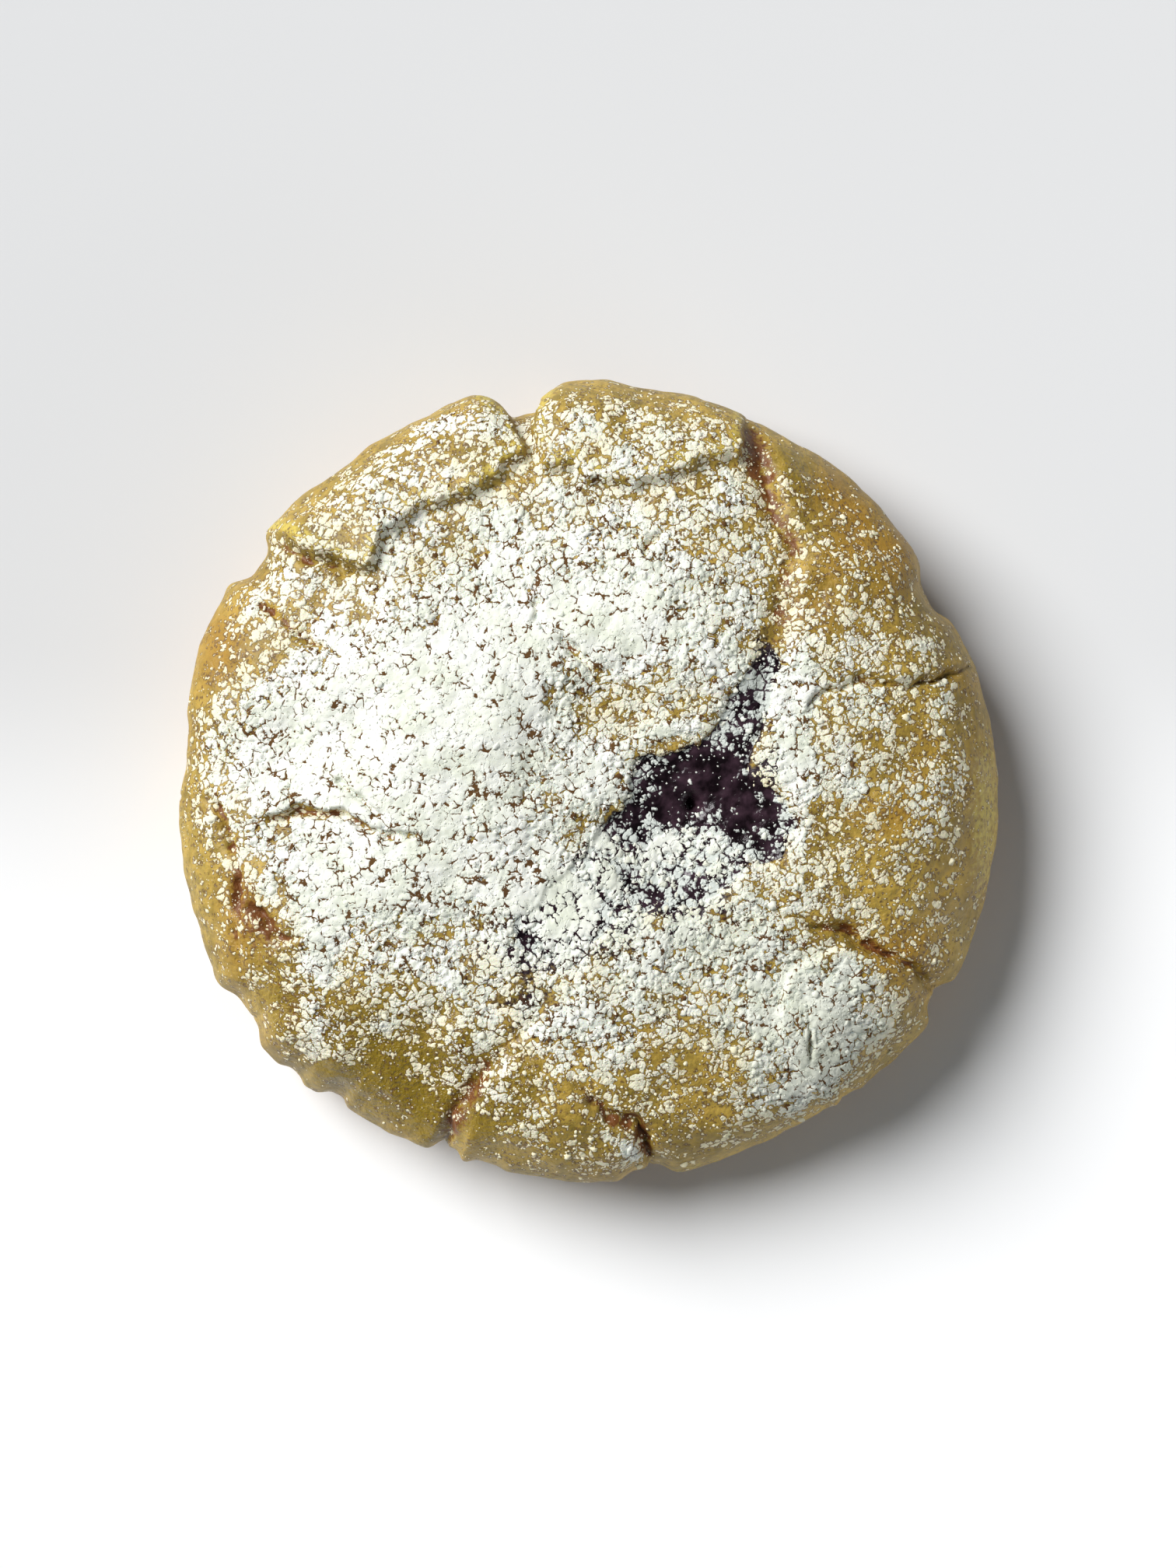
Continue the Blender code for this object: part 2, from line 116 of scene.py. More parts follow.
class Finish:
    """A material and the nodes that it is built up from."""

    def __init__(self, name: str) -> None:
        """Starts a material that has one plain shader.

        Args:
            name: The material's name.
        """
        self.material = bpy.data.materials.new(name)
        self.material.use_nodes = True
        self.tree = self.material.node_tree
        self.shader = self.tree.nodes["Principled BSDF"]
        self.place_on = add_node(self.tree, "ShaderNodeTexCoord").outputs["Object"]

    def number(self, label: str) -> Socket:
        """Reads the number that a piece's points carry under a label."""
        return add_node(self.tree, "ShaderNodeAttribute", attribute_name=label).outputs["Fac"]

    def noise(
        self,
        size_mm: float,
        detail: float = 4.0,
        roughness: float = 0.5,
        output: str = "Fac",
    ) -> Socket:
        """Adds a cloudy pattern.

        Args:
            size_mm: Its size in mm.
            detail: How many finer patterns lie on it.
            roughness: How strong those are.
            output: "Fac" for one number at a place, "Color" for three.

        Returns:
            The pattern.
        """
        values = {"Scale": per_metre(size_mm), "Detail": detail, "Roughness": roughness}
        return add_node(self.tree, "ShaderNodeTexNoise", values, {"Vector": self.place_on}).outputs[output]

    def ramp(
        self,
        value: Socket,
        span: Span,
        to: Span = (0.0, 1.0),
        curve: str = "LINEAR",
        clamp: bool = True,
    ) -> Socket:
        """Maps a number from one span to another.

        Args:
            value: The number.
            span: Where it starts and ends.
            to: What those ends become.
            curve: "LINEAR", or "SMOOTHSTEP" for an S curve.
            clamp: Whether the result stays between the new ends.

        Returns:
            The mapped number.
        """
        values = {1: span[0], 2: span[1], 3: to[0], 4: to[1]}
        node = add_node(
            self.tree, "ShaderNodeMapRange", values, {0: value}, interpolation_type=curve, clamp=clamp
        )
        return node.outputs[0]

    def reckon(self, operation: str, *terms: Socket | float) -> Socket:
        """Adds one step of arithmetic.

        Args:
            operation: What it does, such as "ADD".
            *terms: Its terms, each a number or an output.

        Returns:
            The result.
        """
        values = {index: term for index, term in enumerate(terms) if isinstance(term, float)}
        links = {index: term for index, term in enumerate(terms) if index not in values}
        return add_node(self.tree, "ShaderNodeMath", values, links, operation=operation).outputs[0]

    def blend(self, share: Socket, first: Socket | str, second: Socket | str) -> Socket:
        """Mixes two colours.

        Args:
            share: The second one's share, from 0 to 1.
            first: A hex colour or an output.
            second: The same.

        Returns:
            The mixed colour.
        """
        both = {6: first, 7: second}
        values = {slot: linear(colour) for slot, colour in both.items() if isinstance(colour, str)}
        links = {slot: colour for slot, colour in both.items() if slot not in values}
        return add_node(self.tree, "ShaderNodeMix", values, {0: share, **links}, data_type="RGBA").outputs[2]

    def covered(self, share: Socket, first: Socket, second: float) -> Socket:
        """Mixes a changing number with a fixed one, which has the given share."""
        mixed = add_node(self.tree, "ShaderNodeMix", {3: second}, {0: share, 2: first}, data_type="FLOAT")
        return mixed.outputs[0]

    def bump(
        self,
        height: Socket,
        size_mm: float,
        strength: Socket | float,
        over: Socket | None = None,
    ) -> Socket:
        """Roughens the surface.

        Args:
            height: The pattern that stands out.
            size_mm: How high it stands at 1.
            strength: How much of it shows, a number or an output.
            over: The surface that it lies on, where that is roughened already.

        Returns:
            The surface's direction.
        """
        values = {"Distance": size_mm * MM}
        links = {"Height": height}
        (values if isinstance(strength, float) else links)["Strength"] = strength
        if over is not None:
            links["Normal"] = over
        return add_node(self.tree, "ShaderNodeBump", values, links).outputs["Normal"]

    def done(self, links: dict[str, Socket], values: dict) -> bpy.types.Material:
        """Sets up the shader.

        Args:
            links: The outputs that feed it, by input.
            values: Its fixed values, by input.

        Returns:
            The finished material.
        """
        for name, output in links.items():
            self.tree.links.new(output, self.shader.inputs[name])
        for name, value in values.items():
            self.shader.inputs[name].default_value = value
        return self.material


def smooth(low: float, high: float, value: Array) -> Array:
    """Rises from 0 at low to 1 at high along an S curve.

    Args:
        low: Where the rise starts.
        high: Where it ends.
        value: The values to map.

    Returns:
        The mapped values.
    """
    share = np.clip((value - low) / (high - low), 0.0, 1.0)
    return share * share * (3.0 - 2.0 * share)


def waves(points: Array, wavelength: float, place: float) -> Array:
    """Smooth random waves at points in mm.

    Args:
        points: The points, one a row.
        wavelength: The waves' length in mm.
        place: Where in the endless noise the pattern is taken from.

    Returns:
        A height from about -1 to 1 for each point.
    """
    scaled = points / wavelength + place
    return np.array([noise.noise(point) for point in scaled.tolist()])


def lumps(points: Array, size: float, seed: int) -> tuple[Array, Array]:
    """Packed round lumps, as grains that touch their neighbours make.

    Args:
        points: The points in mm, one a row.
        size: The lumps' mean spacing in mm.
        seed: The number that picks the pattern.

    Returns:
        The distance to the nearest lump's middle and how much nearer it is than the next one, both
        as shares of the spacing.
    """
    scaled = points / size
    home = np.floor(scaled).astype(np.int64)
    nearest = np.full(len(points), np.inf)
    second = np.full(len(points), np.inf)
    steps = (-1, 0, 1)
    for step in ((i, j, k) for i in steps for j in steps for k in steps):
        cell = home + step
        mixed = np.bitwise_xor.reduce(cell * CELL_PRIMES, axis=1) ^ seed * SEED_PRIME
        for shift, factor in STIRS:
            mixed = (mixed ^ (mixed >> shift)) * factor & WORD
        drawn = np.column_stack([(mixed >> shift) & TEN_BITS for shift in (0, 10, 20)]) / TEN_BITS
        distance = np.sqrt(((cell + drawn - scaled) ** 2).sum(axis=1))
        second = np.minimum(second, np.maximum(nearest, distance))
        nearest = np.minimum(nearest, distance)
    return nearest, second - nearest


def on_plan(x: Array, y: Array) -> Array:
    """Points at level 0, one a row."""
    return np.column_stack([x, y, np.zeros_like(x)])


def turn(degrees: Array, centre: float) -> Array:
    """The signed turn in degrees from centre, within half a circle either way."""
    return (degrees - centre + 180.0) % 360.0 - 180.0


def path_distance(x: Array, y: Array, path: tuple[Point, ...] | Array) -> tuple[Array, Array, Array]:
    """Measures points against a path.

    Args:
        x: The points' x in mm.
        y: The points' y in mm.
        path: The path's corners in mm.

    Returns:
        The distance to the path, the side of it that the point is on (1 is left), and how far along
        the path it lies, from 0 to 1.
    """
    points = np.array(path)
    lengths = np.hypot(*(points[1:] - points[:-1]).T)
    starts = np.concatenate([[0.0], np.cumsum(lengths)])
    nearest = np.full_like(x, np.inf)
    side = np.zeros_like(x)
    along = np.zeros_like(x)
    for start, end, length, begun in zip(points[:-1], points[1:], lengths, starts):
        run = (end - start) / length
        gone = np.clip((x - start[0]) * run[0] + (y - start[1]) * run[1], 0.0, length)
        out_x = x - start[0] - gone * run[0]
        out_y = y - start[1] - gone * run[1]
        distance = np.hypot(out_x, out_y)
        closer = distance < nearest
        nearest = np.where(closer, distance, nearest)
        side = np.where(closer, np.sign(run[0] * out_y - run[1] * out_x), side)
        along = np.where(closer, (begun + gone) / starts[-1], along)
    return nearest, side, along


def inside_distance(x: Array, y: Array, outline: tuple[Point, ...]) -> Array:
    """Distance to a closed outline.

    Args:
        x: The points' x in mm.
        y: The points' y in mm.
        outline: The outline's corners in mm.

    Returns:
        The distance in mm, positive inside.
    """
    corners = np.array(outline)
    following = np.roll(corners, -1, axis=0)
    inside = np.zeros(x.shape, bool)
    for (x0, y0), (x1, y1) in zip(corners, following):
        crosses = (y0 > y) != (y1 > y)
        rise = y1 - y0 if y1 != y0 else 1.0
        inside ^= crosses & (x < x0 + (y - y0) * (x1 - x0) / rise)
    distance, _, _ = path_distance(x, y, np.vstack([corners, corners[:1]]))
    return np.where(inside, distance, -distance)


def disc_grid(rings: int) -> tuple[bmesh.types.BMesh, Array, Array]:
    """A square grid whose rings can be laid out as the rings of a round disc.

    Args:
        rings: The number of rings round the middle point.

    Returns:
        The grid's bmesh and, for each point, its ring's share of the radius and its direction.
    """
    mesh = bmesh.new()
    bmesh.ops.create_grid(mesh, x_segments=2 * rings, y_segments=2 * rings, size=1.0)
    flat = np.array([vertex.co[:2] for vertex in mesh.verts])
    across, along = flat[:, 0], flat[:, 1]
    ring = np.maximum(np.abs(across), np.abs(along))
    wide = np.abs(across) >= np.abs(along)
    quarter = math.pi / 4.0
    sideways = np.where(across < 0.0, math.pi, 0.0) + quarter * along / np.where(across == 0.0, 1.0, across)
    upright = np.where(along < 0.0, -1.0, 1.0) * math.pi / 2.0
    upright -= quarter * across / np.where(along == 0.0, 1.0, along)
    return mesh, ring, np.where(wide, sideways, upright)


def place(mesh: bmesh.types.BMesh, points: Array) -> None:
    """Moves a bmesh's points to the given places in mm."""
    for vertex, point in zip(mesh.verts, points * MM):
        vertex.co = point


def carry(mesh: bmesh.types.BMesh, label: str, numbers: Array) -> None:
    """Gives each of a bmesh's points a number that its finish reads.

    Args:
        mesh: The bmesh.
        label: The name that the finish reads it under.
        numbers: One number for each point.
    """
    layer = mesh.verts.layers.float.new(label)
    for vertex, number in zip(mesh.verts, numbers.tolist()):
        vertex[layer] = number


def make_piece(
    name: str,
    mesh: bmesh.types.BMesh,
    material: bpy.types.Material,
) -> bpy.types.Object:
    """Turns a bmesh into a dressed piece that rides on the cookie.

    Args:
        name: The piece's name.
        mesh: Its shape, freed here.
        material: Its finish.

    Returns:
        The piece.
    """
    data = bpy.data.meshes.new(name)
    mesh.to_mesh(data)
    mesh.free()
    data.materials.append(material)
    data.shade_smooth()
    piece = bpy.data.objects.new(name, data)
    bpy.context.scene.collection.objects.link(piece)
    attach(piece, BODY)
    log.info("%s: %d points, %d faces", name, len(data.vertices), len(data.polygons))
    return piece


@dataclass(frozen=True)
class Lobe:
    """One broad wave of the outline: waves round the rim, height in mm, crest's direction in degrees."""

    waves: int
    height: float
    crest: float


@dataclass(frozen=True)
class Notch:
    """A place where a crack opens the rim, or where the rim swells if its depth is negative: direction
    and half width in degrees, depth in mm."""

    direction: float
    depth: float
    half_width: float


@dataclass(frozen=True)
class Plate:
    """A broken plate of crust that stands proud: lift in mm and outline in mm."""

    lift: float
    outline: tuple[Point, ...]


@dataclass(frozen=True)
class Crack:
    """A crack: depth and half width in mm, how far its left side stands up, and its path in mm."""

    depth: float
    half_width: float
    step: float
    path: tuple[Point, ...]


@dataclass(frozen=True)
class Swell:
    """A broad rise of the top, or a hollow where the height is negative, all in mm."""

    x: float
    y: float
    radius: float
    height: float


@dataclass(frozen=True)
class Uneven:
    """Random unevenness: wavelength and height in mm, and its place in the noise."""

    wavelength: float
    height: float
    place: float

    def at(self, points: Array) -> Array:
        """How far it rises at points in mm."""
        return self.height * waves(points, self.wavelength, self.place)


@dataclass(frozen=True)
class Patch:
    """A soft oval patch of the top: middle and half sizes in mm, its turn in degrees and its strength."""

    x: float
    y: float
    long: float
    short: float
    turn: float
    amount: float

    def weight(self, x: Array, y: Array) -> Array:
        """How strongly the patch acts, falling off smoothly from its middle.

        Args:
            x: The points' x in mm.
            y: The points' y in mm.

        Returns:
            The strength at each point.
        """
        angle = math.radians(self.turn)
        along = (x - self.x) * math.cos(angle) + (y - self.y) * math.sin(angle)
        across = (y - self.y) * math.cos(angle) - (x - self.x) * math.sin(angle)
        return self.amount * np.exp(-((along / self.long) ** 2) - (across / self.short) ** 2)


def sum_patches(patches: tuple[Patch, ...], x: Array, y: Array) -> Array:
    """Adds up patches at points in mm."""
    return sum((patch.weight(x, y) for patch in patches), np.zeros_like(x))


@dataclass(frozen=True)
class PocketForm:
    """The pocket of cherry filling as seen from above, in mm and degrees."""

    middle: Point = (11.0, -4.5)
    radius: float = 7.4
    arms: tuple[tuple[float, float, float], ...] = (
        (0.0, 3.6, 24.0),
        (64.0, 13.0, 10.0),
        (216.0, 15.5, 17.0),
        (185.0, 1.6, 14.0),
        (262.0, 1.2, 22.0),
    )
    depth: float = 9.0
    recess: float = 0.45
    arm_recess: float = 0.12
    dish: float = 1.3
    dish_start: float = -1.0
    dish_edge: float = 5.0
    dish_reach: float = 12.0
    lump: Uneven = Uneven(4.5, 0.32, 7.7)
    ripple: Uneven = Uneven(1.5, 0.1, 19.3)
    pit: Point = (11.3, -2.2)
    pit_radius: float = 0.9
    pit_narrowing: float = 0.75
    pit_depth: float = 1.5
    ragged: tuple[Uneven, ...] = (Uneven(2.6, 1.5, 21.7), Uneven(1.1, 0.8, 33.3))

    def reach(self, theta: Array) -> Array:
        """How far the filling reaches.

        Args:
            theta: The direction from the pocket's middle.

        Returns:
            The distance from the pocket's middle in mm.
        """
        radius = np.full_like(theta, self.radius)
        for centre, reach, half_width in self.arms:
            radius += reach * np.exp(-((turn(np.degrees(theta), centre) / half_width) ** 2))
        return radius

    def distance(self, x: Array, y: Array) -> Array:
        """Measures points against the pocket's torn edge.

        Args:
            x: The points' x in mm.
            y: The points' y in mm.

        Returns:
            How far outside the edge each lies in mm, negative inside.
        """
        across, along = x - self.middle[0], y - self.middle[1]
        flat = on_plan(x, y)
        torn = sum(part.at(flat) for part in self.ragged)
        return np.hypot(across, along) - self.reach(np.arctan2(along, across)) + torn

    def nearness(self, x: Array, y: Array) -> Array:
        """Falls from 1 at the pocket's middle to 0 out along its arms."""
        from_middle = np.hypot(x - self.middle[0], y - self.middle[1])
        return np.exp(-((from_middle / self.dish_reach) ** 2))

    def dished(self, x: Array, y: Array) -> Array:
        """How far the crust dips towards the filling, in mm."""
        edge = 1.0 - smooth(self.dish_start, self.dish_edge, self.distance(x, y))
        return self.dish * self.nearness(x, y) * edge

    def surface(self, x: Array, y: Array) -> Array:
        """The filling's face, with its lumps and its pit.

        Args:
            x: The points' x in mm.
            y: The points' y in mm.

        Returns:
            How far above the crust's level it lies in mm, negative below.
        """
        flat = on_plan(x, y)
        near = self.nearness(x, y)
        level = near * (self.lump.at(flat) + self.ripple.at(flat))
        level -= self.arm_recess + (self.recess - self.arm_recess) * near
        from_pit = np.hypot(x - self.pit[0], (y - self.pit[1]) * self.pit_narrowing) / self.pit_radius
        return level - self.pit_depth * np.exp(-(from_pit**2))


@dataclass(frozen=True)
class CrustForm:
    """The cookie's outer form, worked out from named sizes in mm and directions in degrees."""

    mean_radius: float = 44.95
    height: float = 22.75
    widest_level: float = 8.0
    base_share: float = 0.9
    fullness: float = 2.7
    top_rings_share: float = 0.80
    top_edge_share: float = 0.94
    relief_low: float = 1.0
    relief_high: float = 6.0
    lobes: tuple[Lobe, ...] = (
        Lobe(1, 0.43, -145.0),
        Lobe(2, 0.65, -2.0),
        Lobe(3, 0.53, -28.0),
        Lobe(4, 0.21, -43.0),
        Lobe(5, 0.32, -5.0),
        Lobe(6, 0.32, -28.0),
    )
    notches: tuple[Notch, ...] = (
        Notch(29.0, 1.4, 3.8),
        Notch(67.0, -0.3, 19.0),
        Notch(99.8, 3.0, 4.6),
        Notch(146.5, 1.9, 3.4),
        Notch(175.5, 0.8, 5.0),
        Notch(213.5, 1.6, 4.2),
        Notch(224.5, 0.6, 1.8),
        Notch(231.0, 0.9, 1.8),
        Notch(249.0, 1.7, 2.2),
        Notch(255.0, 0.8, 2.6),
        Notch(278.5, 1.3, 3.2),
        Notch(303.0, 0.5, 4.5),
        Notch(310.0, 0.5, 1.6),
        Notch(328.5, 1.5, 2.6),
    )
    notch_draw_in: int = 8
    notch_low: float = -4.0
    notch_high: float = 6.0
    crack_low: float = 1.5
    crack_high: float = 11.0
    crack_rim_share: float = 0.2
    crack_rim_width: float = 6.0
    plates: tuple[Plate, ...] = (
        Plate(1.7, ((-52.0, 30.0), (-35.6, 28.0), (-30.6, 25.6), (-23.7, 23.4), (-21.9, 27.1), (-17.3, 29.9),
                    (-13.5, 30.9), (-9.8, 33.1), (-6.9, 35.8), (-8.6, 40.1), (-11.2, 43.2), (-14.0, 56.0))),
        Plate(1.5, ((-4.6, 56.0), (-4.9, 43.8), (-5.4, 41.0), (-5.7, 36.4), (-4.6, 34.2), (-1.6, 34.6),
                    (-0.4, 32.8), (4.4, 31.9), (7.5, 32.5), (11.3, 34.2), (16.2, 35.0), (17.2, 39.8),
                    (20.0, 56.0))),
        Plate(0.6, ((56.0, 14.0), (41.5, 12.9), (37.0, 11.7), (33.6, 10.9), (29.4, 12.0), (25.9, 10.8),
                    (23.4, 8.2), (21.6, 13.0), (22.5, 18.5), (23.3, 23.0), (21.4, 29.0), (19.6, 34.0),
                    (19.0, 40.2), (24.0, 56.0))),
        Plate(0.8, ((38.2, -23.6), (35.0, -20.4), (31.7, -18.8), (28.0, -17.2), (22.0, -20.0),
                    (20.0, -27.0), (24.0, -33.0), (31.0, -37.0), (60.0, -40.0))),
        Plate(1.0, ((-15.4, -56.0), (-15.4, -39.9), (-14.0, -36.0), (-11.6, -32.4), (-7.6, -29.6),
                    (-2.2, -31.2), (0.4, -34.4), (4.8, -37.0), (6.0, -39.4), (6.6, -43.5), (7.0, -56.0))),
    )
    plate_edge: float = 0.45
    break_inset: float = 0.9
    break_lift: Span = (0.7, 1.7)
    plate_reach: float = 15.0
    plate_far_share: float = 0.25
    plate_rim_share: float = 0.1
    plate_rim_width: float = 5.0
    cracks: tuple[Crack, ...] = (
        Crack(0.75, 1.9, -0.25, ((17.6, 46.0), (17.8, 39.8), (18.5, 35.7), (19.9, 30.8), (21.3, 26.4),
                               (21.8, 22.1), (20.6, 18.4), (19.5, 15.3), (18.7, 10.9), (19.0, 6.6),
                               (17.5, 2.9))),
        Crack(1.1, 0.5, 0.2, ((47.0, 14.0), (39.2, 11.9), (36.7, 11.1), (33.6, 10.3), (29.2, 11.3),
                              (25.8, 10.0), (24.0, 8.8))),
        Crack(1.6, 0.65, 0.3, ((43.0, -27.0), (38.2, -23.2), (36.4, -21.0), (35.1, -19.7), (31.7, -18.2),
                              (28.6, -16.3), (23.7, -15.1), (19.3, -13.5))),
        Crack(1.7, 0.8, -0.3, ((7.2, -48.0), (6.9, -43.0), (6.3, -39.3), (5.1, -37.1), (0.7, -34.6),
                               (-2.1, -31.5))),
        Crack(0.8, 1.2, -0.3, ((-16.2, -45.0), (-15.7, -39.9), (-14.3, -36.2), (-12.0, -32.5),
                               (-8.6, -27.8), (-5.5, -25.3))),
        Crack(1.5, 0.8, 0.3, ((-50.0, -1.0), (-45.2, -1.5), (-41.4, -1.5), (-39.9, -4.2), (-38.5, -8.3),
                              (-38.4, -12.0), (-38.7, -17.2), (-36.6, -24.0))),
        Crack(1.5, 0.8, -0.4, ((-36.2, -13.6), (-34.6, -15.4), (-33.2, -16.6), (-30.8, -16.3))),
        Crack(1.4, 0.6, 0.5, ((-34.1, -3.6), (-31.5, -3.0), (-26.6, -3.3), (-23.5, -4.9), (-21.6, -5.6),
                              (-18.6, -5.8))),
        Crack(1.0, 0.5, 0.3, ((-26.9, 0.4), (-25.0, -1.5), (-22.5, -3.3), (-21.6, -5.4))),
        Crack(1.4, 0.6, -0.5, ((-36.2, 19.8), (-32.5, 17.3), (-29.7, 15.3), (-26.8, 13.6))),
        Crack(1.1, 0.7, 0.4, ((-5.9, 19.6), (-4.9, 17.1), (-3.1, 15.8), (-0.5, 13.7), (1.3, 11.6))),
        Crack(0.9, 0.5, 0.3, ((6.0, 24.8), (6.9, 26.2), (8.2, 27.4))),
        Crack(1.1, 0.5, 0.2, ((23.6, -25.4), (23.9, -28.9))),
        Crack(1.3, 0.9, 0.4, ((-46.5, 25.6), (-40.0, 25.6), (-35.6, 26.6), (-30.6, 24.6), (-24.0, 22.6))),
        Crack(1.5, 1.0, 0.0, ((-44.0, -31.0), (-38.0, -26.6), (-35.2, -24.4))),
        Crack(1.3, 0.8, 0.0, ((29.6, -39.5), (28.4, -35.0), (27.6, -32.6))),
    )
    swells: tuple[Swell, ...] = (
        Swell(-15.0, 5.5, 11.0, 1.5),
        Swell(-21.0, -12.0, 7.0, 0.8),
        Swell(7.5, 20.5, 8.0, 1.1),
        Swell(33.0, -3.0, 9.0, 1.0),
        Swell(26.0, -28.0, 8.0, 1.0),
        Swell(31.0, 22.0, 8.0, 0.5),
        Swell(4.0, -23.0, 7.0, 0.7),
        Swell(-33.0, 4.3, 5.0, -1.5),
        Swell(-26.0, 4.6, 4.0, -0.8),
        Swell(1.5, 8.0, 5.0, -0.8),
        Swell(-11.0, 25.0, 7.0, -0.9),
        Swell(-28.0, 21.5, 5.0, -0.9),
        Swell(-19.0, -31.0, 7.0, -0.9),
        Swell(-8.0, 39.0, 3.0, -0.7),
        Swell(-14.0, -28.0, 2.5, 0.5),
    )
    uneven: tuple[Uneven, ...] = (
        Uneven(16.0, 0.70, 3.1),
        Uneven(7.0, 0.50, 11.7),
        Uneven(3.4, 0.26, 27.3),
        Uneven(1.5, 0.10, 40.9),
    )
    jag: tuple[Uneven, Uneven] = (Uneven(3.0, 0.55, 51.3), Uneven(3.0, 0.55, 83.9))
    fray: tuple[Uneven, Uneven] = (Uneven(1.1, 0.4, 15.1), Uneven(1.1, 0.4, 37.7))
    crack_sharpness: float = 1.7
    crack_taper: float = 0.6
    crack_taper_from: float = 0.55
    crack_least_width: float = 0.5
    deep_crack: float = 1.5
    lean_span: Span = (0.2, 1.0)
    lean_reach: float = 3.0
    bridged_length: float = 3.6
    bridged_place: float = 5.3
    bridged_above: float = 0.45
    bridged_share: float = 0.6
    side_view_points: int = 600
    pocket: PocketForm = field(default_factory=PocketForm)

    def outline_radius(self, theta: Array) -> Array:
        """The cookie's radius at its widest level, before its cracks.

        Args:
            theta: The direction from the middle.

        Returns:
            The radius in mm.
        """
        radius = np.full_like(theta, self.mean_radius)
        for lobe in self.lobes:
            radius += lobe.height * np.cos(lobe.waves * (theta - math.radians(lobe.crest)))
        return radius

    def notch_depth(self, theta: Array) -> Array:
        """How far the notches cut into the outline.

        Args:
            theta: The direction from the middle.

        Returns:
            The depth in mm.
        """
        depth = np.zeros_like(theta)
        for notch in self.notches:
            away = turn(np.degrees(theta), notch.direction) / notch.half_width
            depth += notch.depth * np.exp(-(away**4))
        return depth

    def share_out(self, x: Array, y: Array) -> Array:
        """How far out points lie, from 0 in the middle to 1 at the outline."""
        return np.hypot(x, y) / self.outline_radius(np.arctan2(y, x))

    def rise(self, share: Array) -> Array:
        """How far the smooth top has risen at a share of the way out, from 0 to 1 in the middle."""
        return (1.0 - share**self.fullness) ** (1.0 / self.fullness)

    def meridian(self, share: Array) -> tuple[Array, Array, Array, Array]:
        """The smooth side view.

        Args:
            share: How far along the side view, from 0 at the top's middle to 1 at the base's edge.

        Returns:
            Radius as a share of the outline's, level in mm, and the outward direction's two parts.
        """
        power = 2.0 / self.fullness
        angle = np.linspace(math.pi / 2.0, 0.0, self.side_view_points)
        low = np.linspace(0.0, math.pi / 2.0, self.side_view_points)[1:]
        drawn_in = self.base_share + (1.0 - self.base_share) * np.cos(low)
        radius = np.concatenate([np.cos(angle) ** power, drawn_in])
        upper = self.widest_level + (self.height - self.widest_level) * np.sin(angle) ** power
        level = np.concatenate([upper, self.widest_level * (1.0 - np.sin(low))])
        outwards = np.diff(radius, prepend=0.0) * self.mean_radius
        length = np.cumsum(np.hypot(outwards, np.diff(level, prepend=level[0])))
        length /= length[-1]
        edge = np.interp(self.top_edge_share, radius[:self.side_view_points], length[:self.side_view_points])
        inner = share / self.top_rings_share * edge
        outer = edge + (share - self.top_rings_share) / (1.0 - self.top_rings_share) * (1.0 - edge)
        wanted = np.where(share < self.top_rings_share, inner, outer)
        step = 1.0 / self.side_view_points
        after, before = np.clip(wanted + step, 0.0, 1.0), np.clip(wanted - step, 0.0, 1.0)
        run = (np.interp(after, length, radius) - np.interp(before, length, radius)) * self.mean_radius
        fall = np.interp(after, length, level) - np.interp(before, length, level)
        size = np.hypot(run, fall)
        return np.interp(wanted, length, radius), np.interp(wanted, length, level), -fall / size, run / size

    def relief(self, points: Array) -> tuple[Array, Array, Array]:
        """The crust's relief at points of the smooth form.

        Args:
            points: The points in mm, one a row.

        Returns:
            How far the crust stands out in mm, how deep in a crack it is from 0 to 1, and how close
            to a plate's broken edge from 0 to 1.
        """
        x = points[:, 0] + self.jag[0].at(points) + self.fray[0].at(points)
        y = points[:, 1] + self.jag[1].at(points) + self.fray[1].at(points)
        from_rim = self.mean_radius - np.hypot(points[:, 0], points[:, 1])
        opened = smooth(self.crack_low, self.crack_high, points[:, 2])
        at_rim = 1.0 - smooth(0.0, self.crack_rim_width, from_rim)
        opened *= 1.0 - (1.0 - self.crack_rim_share) * at_rim
        proud = 1.0 - (1.0 - self.plate_rim_share) * (1.0 - smooth(0.0, self.plate_rim_width, from_rim))
        out = np.zeros(len(points))
        in_crack = np.zeros(len(points))
        at_break = np.zeros(len(points))
        for swell in self.swells:
            out += swell.height * np.exp(-((x - swell.x) ** 2 + (y - swell.y) ** 2) / swell.radius**2)
        for plate in self.plates:
            inside = inside_distance(x, y, plate.outline)
            sink = (1.0 - self.plate_far_share) * smooth(0.0, self.plate_reach, inside)
            out += plate.lift * proud * smooth(-self.plate_edge, self.plate_edge, inside) * (1.0 - sink)
            near_break = np.exp(-((inside - self.break_inset) ** 2))
            at_break = np.maximum(at_break, near_break * smooth(*self.break_lift, plate.lift))
        drift = waves(points, self.bridged_length, self.bridged_place)
        bridged = 1.0 - self.bridged_share * smooth(0.0, self.bridged_above, drift)
        for crack in self.cracks:
            distance, side, along = path_distance(x, y, crack.path)
            taper = (1.0 - self.crack_taper * smooth(self.crack_taper_from, 1.0, along)) * opened * bridged
            width = crack.half_width * (self.crack_least_width + taper)
            close = np.clip(1.0 - distance / width, 0.0, 1.0) ** self.crack_sharpness
            out -= crack.depth * taper * close
            leaning = smooth(*self.lean_span, distance) * np.exp(-distance / self.lean_reach)
            out += crack.step * taper * np.clip(side, 0.0, 1.0) * leaning
            in_crack = np.maximum(in_crack, taper * close * min(crack.depth / self.deep_crack, 1.0))
        out -= self.pocket.dished(x, y)
        for part in self.uneven:
            out += part.at(points)
        return out, in_crack, at_break

